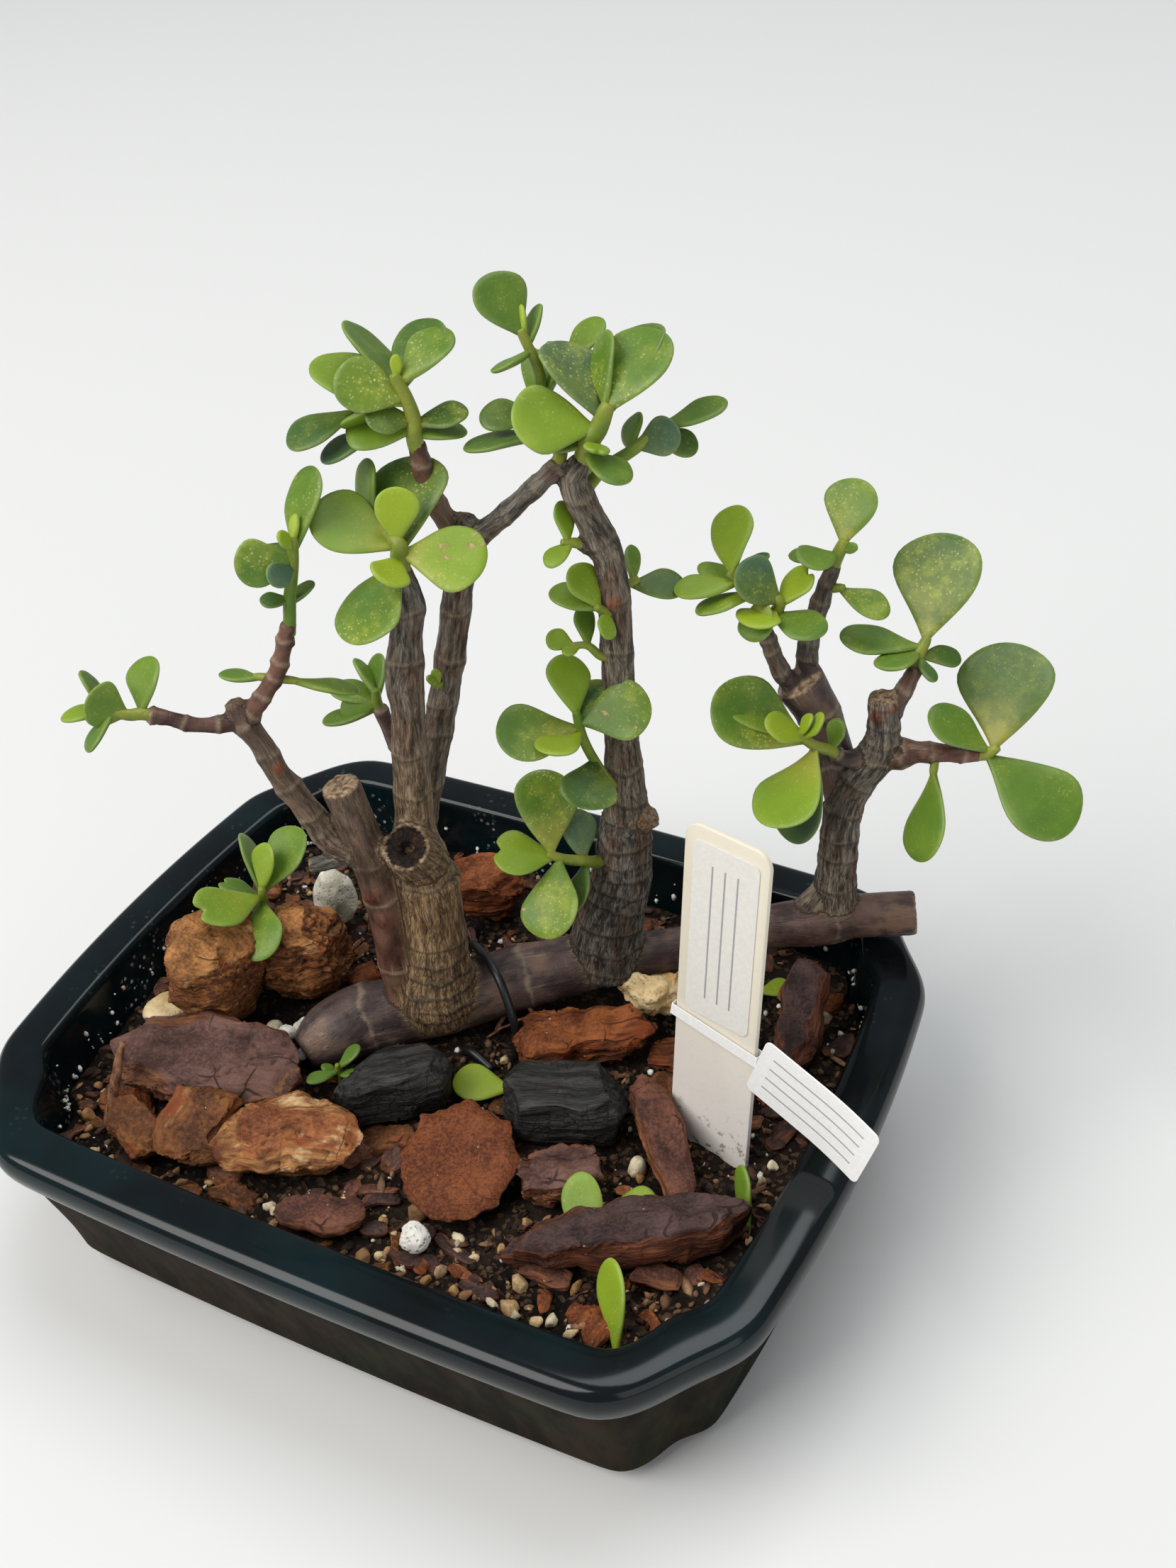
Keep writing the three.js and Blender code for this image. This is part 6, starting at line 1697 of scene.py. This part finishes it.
peat = grain_finish("crumbs", ["15100c", "241b14", "38291e", "57412f", "7d6046"], 0.5)
chaff = grain_finish("bark chaff", ["2a1d18", "4f372a", "7d5a42", "a98463", "3b2e2a"], 0.6)
dust = grain_finish("perlite grains", ["d9d4c8", "f2efe8", "c2b69c", "f7f5f0"], 0.8)
gravel = grain_finish("pebbles", ["b98f60", "d8bd92", "a67c4e", "ddcfae", "8f6c48"], 0.9)
grains("crumbs_fine", bed_spots(3600, 3), peat, "soil", 4, (0.35, 0.95))
grains("crumbs_flat", bed_spots(1100, 5), chaff, "bark_chip_brown", 6, (0.45, 1.2), 0.3, 2.2, 0.5)
grains("perlite_specks", bed_spots(340, 9, 0.02), dust, "perlite", 10, (0.25, 0.95))
pebbles = np.array([(x, y, soil_height(x, y) + 0.3) for x, y in PEBBLES])
spill = np.array(SPILL_PLACE) + PERLITE_SPILL
balls = grains("perlite_balls", spill, dust, "perlite", 40, (1.4, 2.4), 0.9, 1.1, 3, 3, 8)
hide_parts("perlite_cluster")
grains("pebbles", pebbles, gravel, "stone", 12, (1.2, 2.3), 0.7, 1.2, 3, 3, 12)
scattered = bed_spots(1300, 21)
at_front = scattered[:, 1] < GRAVEL_FRONT
scattered = scattered[at_front | (np.arange(len(scattered)) < GRAVEL_ELSEWHERE)]
grains("gravel_fine", scattered, gravel, "stone", 22, (0.45, 1.35), 0.7, 1.2, 3, 2, 9)


def wall_grains():
    """Perlite that has dried on to the inner wall, over the soil, at the back and on the left."""
    draw = np.random.default_rng(31)
    spots = []
    while len(spots) < WALL_GRAINS:
        z = 29.6 + 6 * draw.random() ** 2
        inner = pot_outline(np.interp(z, WALL_HEIGHTS, WALL_INSETS) + 0.1)
        x, y = inner[draw.integers(len(inner))]
        side = 0.3 + 0.5 * y / POT_HALF_WIDTH - 0.45 * x / POT_HALF_LENGTH
        if draw.random() < side and noise.noise(Vector((x, y, z)) / 4.5) > 0.12:
            spots.append((x, y, z))
    return np.array(spots)


grains("perlite_on_wall", wall_grains(), dust, "perlite", 32, (0.2, 0.7))

twig = Finish("dry roots", Roughness=0.7, Specular_IOR_Level=0.3)
fibre = twig.noise(0.6, 4, 0.6, twig.stretched((1, 1, 3)))
twig.wear(twig.mix(fibre.between(0.35, 0.65), "4a2f22", "94684a"), None, fibre, 0.2)
for number, route in enumerate(ROOTS):
    points, faces = tube(route, 10, 8)
    ragged = [noise.noise_vector(Vector(p) / 2.5) * 0.35 for p in points]
    dress(mesh_piece(f"root_{number}", points + np.array(ragged), faces), twig, "bark")

# The label. A cream plastic stake pushed into the soil, with a paper sticker on its face and a
# paper tag on a band round it. Both papers are blank forms with ruled lines.

LABEL_FOOT = (52.6, -2.6, 30)
LABEL_TURN = -13.4
LABEL_LEAN = 7
STAKE_WIDTH = 17.2
STAKE_TOP = 68
STAKE_POINT = -17
STAKE_SHOULDER = -5
STAKE_THICKNESS = 1
STAKE_CORNER = 3.2
STICKER_SIZE = (13.4, 36, 0.2)
STICKER_CORNER = 1.5
STICKER_PLACE = (0.1, 47.3, 0.13)
TAG_SIZE = (25, 13, 0.3)
TAG_CORNER = 1.2
TAG_CURL = 1.1
TAG_TURN = -16
TAG_PLACE = (21.4, 22.1, 0)
BAND_SIZE = (STAKE_WIDTH + 1.6, 2.4, STAKE_THICKNESS + 1.2)
BAND_TURN = -6.5
BAND_PLACE = (0, 26.6, -STAKE_THICKNESS / 2)
CARD_STRIPS = 12
label_place = Matrix.Translation(Vector(LABEL_FOOT) * MM)
label_place = label_place @ Matrix.Rotation(math.radians(LABEL_TURN), 4, "Z")
label_place = label_place @ Matrix.Rotation(math.radians(90 - LABEL_LEAN), 4, "X")


def unselected(piece, mode):
    """Leaves all of a piece unselected, and ready for its edges or faces to be picked."""
    select(piece)
    bpy.ops.object.mode_set(mode="EDIT")
    bpy.ops.mesh.select_mode(type=mode)
    bpy.ops.mesh.select_all(action="DESELECT")
    bpy.ops.object.mode_set(mode="OBJECT")


def round_corners(piece, radius, segments, least_y):
    """Rounds the corners of a card that lie above least_y, across its thickness."""
    unselected(piece, "EDGE")
    for edge in piece.data.edges:
        a, b = (piece.data.vertices[v].co / MM for v in edge.vertices)
        edge.select = abs(a.x - b.x) + abs(a.y - b.y) < 0.01 and a.y > least_y
    bpy.ops.object.mode_set(mode="EDIT")
    bpy.ops.mesh.bevel(offset=radius * MM, segments=segments, affect="EDGES")
    bpy.ops.object.mode_set(mode="OBJECT")


def softened(piece, width, segments):
    """The piece with its sharp edges rounded a little."""
    settings = {"limit_method": "ANGLE", "angle_limit": 1.0}
    return modified(piece, "BEVEL", width=width * MM, segments=segments, **settings)


def shifted(place):
    """A move by [x, y, z] in millimetres."""
    return Matrix.Translation([v * MM for v in place])


def card(name, width, height, thickness):
    """A flat cuboid round the origin, X across, Y up and Z out of its face."""
    bpy.ops.object.select_all(action="DESELECT")
    bpy.ops.mesh.primitive_cube_add(size=MM)
    made = bpy.context.object
    made.name = name
    made.scale = (width, height, thickness)
    bpy.ops.object.transform_apply(location=True, rotation=True, scale=True)
    return made


def rounded_card(name, width, height, thickness, corner):
    """A card with round corners, cut into strips so that it can curl, with its own page."""
    made = card(name, width, height, thickness)
    round_corners(made, corner, 6, -height)
    softened(made, 0.06, 2)
    for number in range(1, CARD_STRIPS):
        line = (number / CARD_STRIPS - 0.5) * width * MM
        edited(made, bpy.ops.mesh.bisect, plane_co=(line, 0, 0), plane_no=(1, 0, 0))
    add_attribute(made, "page", points_of(made) * MM)
    return made


def stake_plastic():
    """Cream plastic, scuffed, with soil splashed up its foot."""
    plastic = Finish("stake plastic", Specular_IOR_Level=0.45, Coat_Weight=0.1)
    height = plastic.node("ShaderNodeSeparateXYZ", None, {"Vector": plastic.place}, "Z")
    scuffs = plastic.noise(0.5, 4, 0.7, plastic.stretched((6, 1, 1), turn=0.4))
    splash = plastic.noise(1.2, 5, 0.7).between(0.56, 0.64) * height.between(0.043, 0.031)
    warm = plastic.mix(height.between(0.035, 0.07), "f3ece6", "e7dfcb")
    colour = plastic.mix(scuffs.between(0.5, 0.75) * 0.16, warm, "c8bfae")
    colour = plastic.mix(splash * 0.7, colour, "5b4331")
    return plastic.wear(colour, 0.34 + scuffs * 0.2 + splash * 0.3, scuffs, 0.03)


def ruled_paper(name, along, across, pitch, lines, reach, tones):
    """Paper of two tones with faint ruled lines. Along and across are the page axes of a line,
    which reaches as far on either side of the middle."""
    paper = Finish(name, Specular_IOR_Level=0.3)
    page = paper.attribute("page", "Vector")
    run = paper.node("ShaderNodeSeparateXYZ", None, {"Vector": page}, along).math("ABSOLUTE")
    step = paper.node("ShaderNodeSeparateXYZ", None, {"Vector": page}, across)
    turn = step * (1 / (pitch * MM)) + (0.5 if lines % 2 else 1.0) + 20
    near = (turn.math("FRACT") - 0.5).math("ABSOLUTE").between(0.085, 0.055)
    within = step.math("ABSOLUTE").between((lines / 2 + 0.02) * pitch * MM, (lines / 2) * pitch * MM)
    rule = near * within * run.between(reach * MM, (reach - 0.1) * MM)
    fibres = paper.noise(0.4, 4, 0.7)
    sheet = paper.mix(fibres.between(0.3, 0.7), *tones)
    colour = paper.mix(rule * 0.7, sheet, "77797c")
    return paper.wear(colour, 0.6 + fibres * 0.15, fibres, 0.02)


def stake_piece():
    middle = (STAKE_TOP + STAKE_POINT) / 2
    stake = card("label_stake", STAKE_WIDTH, STAKE_TOP - STAKE_POINT, STAKE_THICKNESS)
    stake.data.transform(shifted((0, middle, -STAKE_THICKNESS / 2)))
    shoulder = (0, STAKE_SHOULDER * MM, 0)
    edited(stake, bpy.ops.mesh.bisect, plane_co=shoulder, plane_no=(0, 1, 0))
    for corner in stake.data.vertices:
        if corner.co.y < (STAKE_POINT + 1) * MM:
            corner.co.x *= 0.06
    round_corners(stake, STAKE_CORNER, 10, STAKE_TOP - 1)
    softened(stake, 0.16, 3)
    stake.data.transform(label_place)
    stake.data.shade_smooth()
    select(stake)
    bpy.ops.object.shade_smooth_by_angle(angle=math.radians(30))
    return dress(stake, stake_plastic(), "label_plastic", "plant_label")


def sticker_piece():
    sticker = rounded_card("label_sticker_paper", *STICKER_SIZE, STICKER_CORNER)
    sticker.data.transform(shifted(STICKER_PLACE))
    sticker.data.transform(label_place)
    paper = ruled_paper("sticker paper", "Y", "X", 2.6, 3, 14, ("e2dfd8", "eae7e1"))
    return dress(sticker, paper, "paper", "label_sticker")


def band_mesh():
    """The band round the stake, a sleeve of thin paper without lines."""
    band = card("band", *BAND_SIZE)
    unselected(band, "FACE")
    for face in band.data.polygons:
        face.select = abs(face.normal.y) > 0.9
    bpy.ops.object.mode_set(mode="EDIT")
    bpy.ops.mesh.delete(type="FACE")
    bpy.ops.object.mode_set(mode="OBJECT")
    modified(band, "SOLIDIFY", thickness=0.25 * MM, offset=-1)
    softened(band, 0.08, 2)
    add_attribute(band, "page", np.full((len(band.data.vertices), 3), 0.1))
    turned = Matrix.Rotation(math.radians(BAND_TURN), 4, "Z")
    band.data.transform(shifted(BAND_PLACE) @ turned)
    return band


def tag_piece():
    """The tag, a little curled, and the band that holds it to the stake."""
    tag = rounded_card("hanging_tag", *TAG_SIZE, TAG_CORNER)
    spots = points_of(tag)
    share = spots[:, 0] / (TAG_SIZE[0] / 2)
    spots[:, 2] += 0.5 + TAG_CURL * share**2 * (share > 0)
    put_points(tag, spots)
    tag.data.transform(Matrix.Rotation(math.radians(TAG_TURN), 4, "Z"))
    tag.data.transform(shifted(TAG_PLACE))
    select(tag, band_mesh())
    bpy.ops.object.join()
    tag.data.transform(label_place)
    # The tag's paper is paler than the sticker's: painted light, making up for the tag facing away
    # from the lights.
    paper = ruled_paper("tag paper", "X", "Y", 2.4, 4, 10, ("f2f1ee", "fbfaf8"))
    return dress(tag, paper, "paper", "hang_tag")


stake_piece()
sticker_piece()
tag_piece()

# The floor, the lights and the camera. A pale table under big soft lights, seen from above and
# to the right, as a person standing at the pot sees it.

CAMERA = (142.4, -193.0, 278.9)
CAMERA_RIGHT = (0.8912, 0.44882, -0.06579)
CAMERA_DOWN = (0.23045, -0.57288, -0.78658)
CAMERA_FORWARD = (-0.39072, 0.68584, -0.61398)
FOCAL_PIXELS = 2456.1
LONG_SIDE_PIXELS = 2212
SENSOR = 36.0

# Name, place and side in metres, power in watts, and colour.
LIGHTS = [
    ("window", (-0.9, -1.15, 1.8), 1.7, 48, (1, 0.98, 0.95)),
    ("skylight", (0.2, 0.7, 2.3), 1.5, 24, (0.95, 0.98, 1)),
    ("fill", (1.8, -1.0, 0.9), 1.5, 7, (1, 1, 1)),
]
LIT_PLACE = (0, 0, 0.06)
ROOM_COLOUR = (0.92, 0.96, 1, 1)
ROOM_STRENGTH = 0.28


def soft_light(name, place, side, power, colour):
    light = bpy.data.lights.new(name, "AREA")
    light.size = side
    light.energy = power
    light.color = colour
    lamp = new_object(name, light)
    lamp.location = place
    towards = Vector(LIT_PLACE) - Vector(place)
    lamp.rotation_euler = towards.to_track_quat("-Z", "Y").to_euler()


def floor_piece():
    bpy.ops.object.select_all(action="DESELECT")
    bpy.ops.mesh.primitive_plane_add(size=6, location=(0, 0, -0.0002))
    floor = bpy.context.object
    floor.name = "floor"
    pale = Finish("pale floor", Base_Color=(0.74, 0.74, 0.73, 1), Roughness=0.8)
    floor.data.materials.append(pale.material)
    floor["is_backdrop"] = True


def camera():
    lens = bpy.data.cameras.new("camera")
    lens.sensor_width = SENSOR
    lens.lens = SENSOR * FOCAL_PIXELS / LONG_SIDE_PIXELS
    lens.clip_start = 0.01
    eye = new_object("camera", lens)
    right, up = Vector(CAMERA_RIGHT), -Vector(CAMERA_DOWN)
    turn = Matrix((right, up, -Vector(CAMERA_FORWARD))).transposed()
    eye.matrix_world = Matrix.Translation(Vector(CAMERA) * MM) @ turn.to_4x4()
    bpy.context.scene.camera = eye


def room():
    """Dim even light from all round."""
    world = bpy.data.worlds.new("room")
    world.use_nodes = True
    background = world.node_tree.nodes["Background"]
    background.inputs["Color"].default_value = ROOM_COLOUR
    background.inputs["Strength"].default_value = ROOM_STRENGTH
    bpy.context.scene.world = world
    bpy.context.scene.view_settings.view_transform = "Standard"


floor_piece()
for light in LIGHTS:
    soft_light(*light)
room()
camera()

boxes = [[list(corner) for corner in box] for box in (cad_box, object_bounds())]
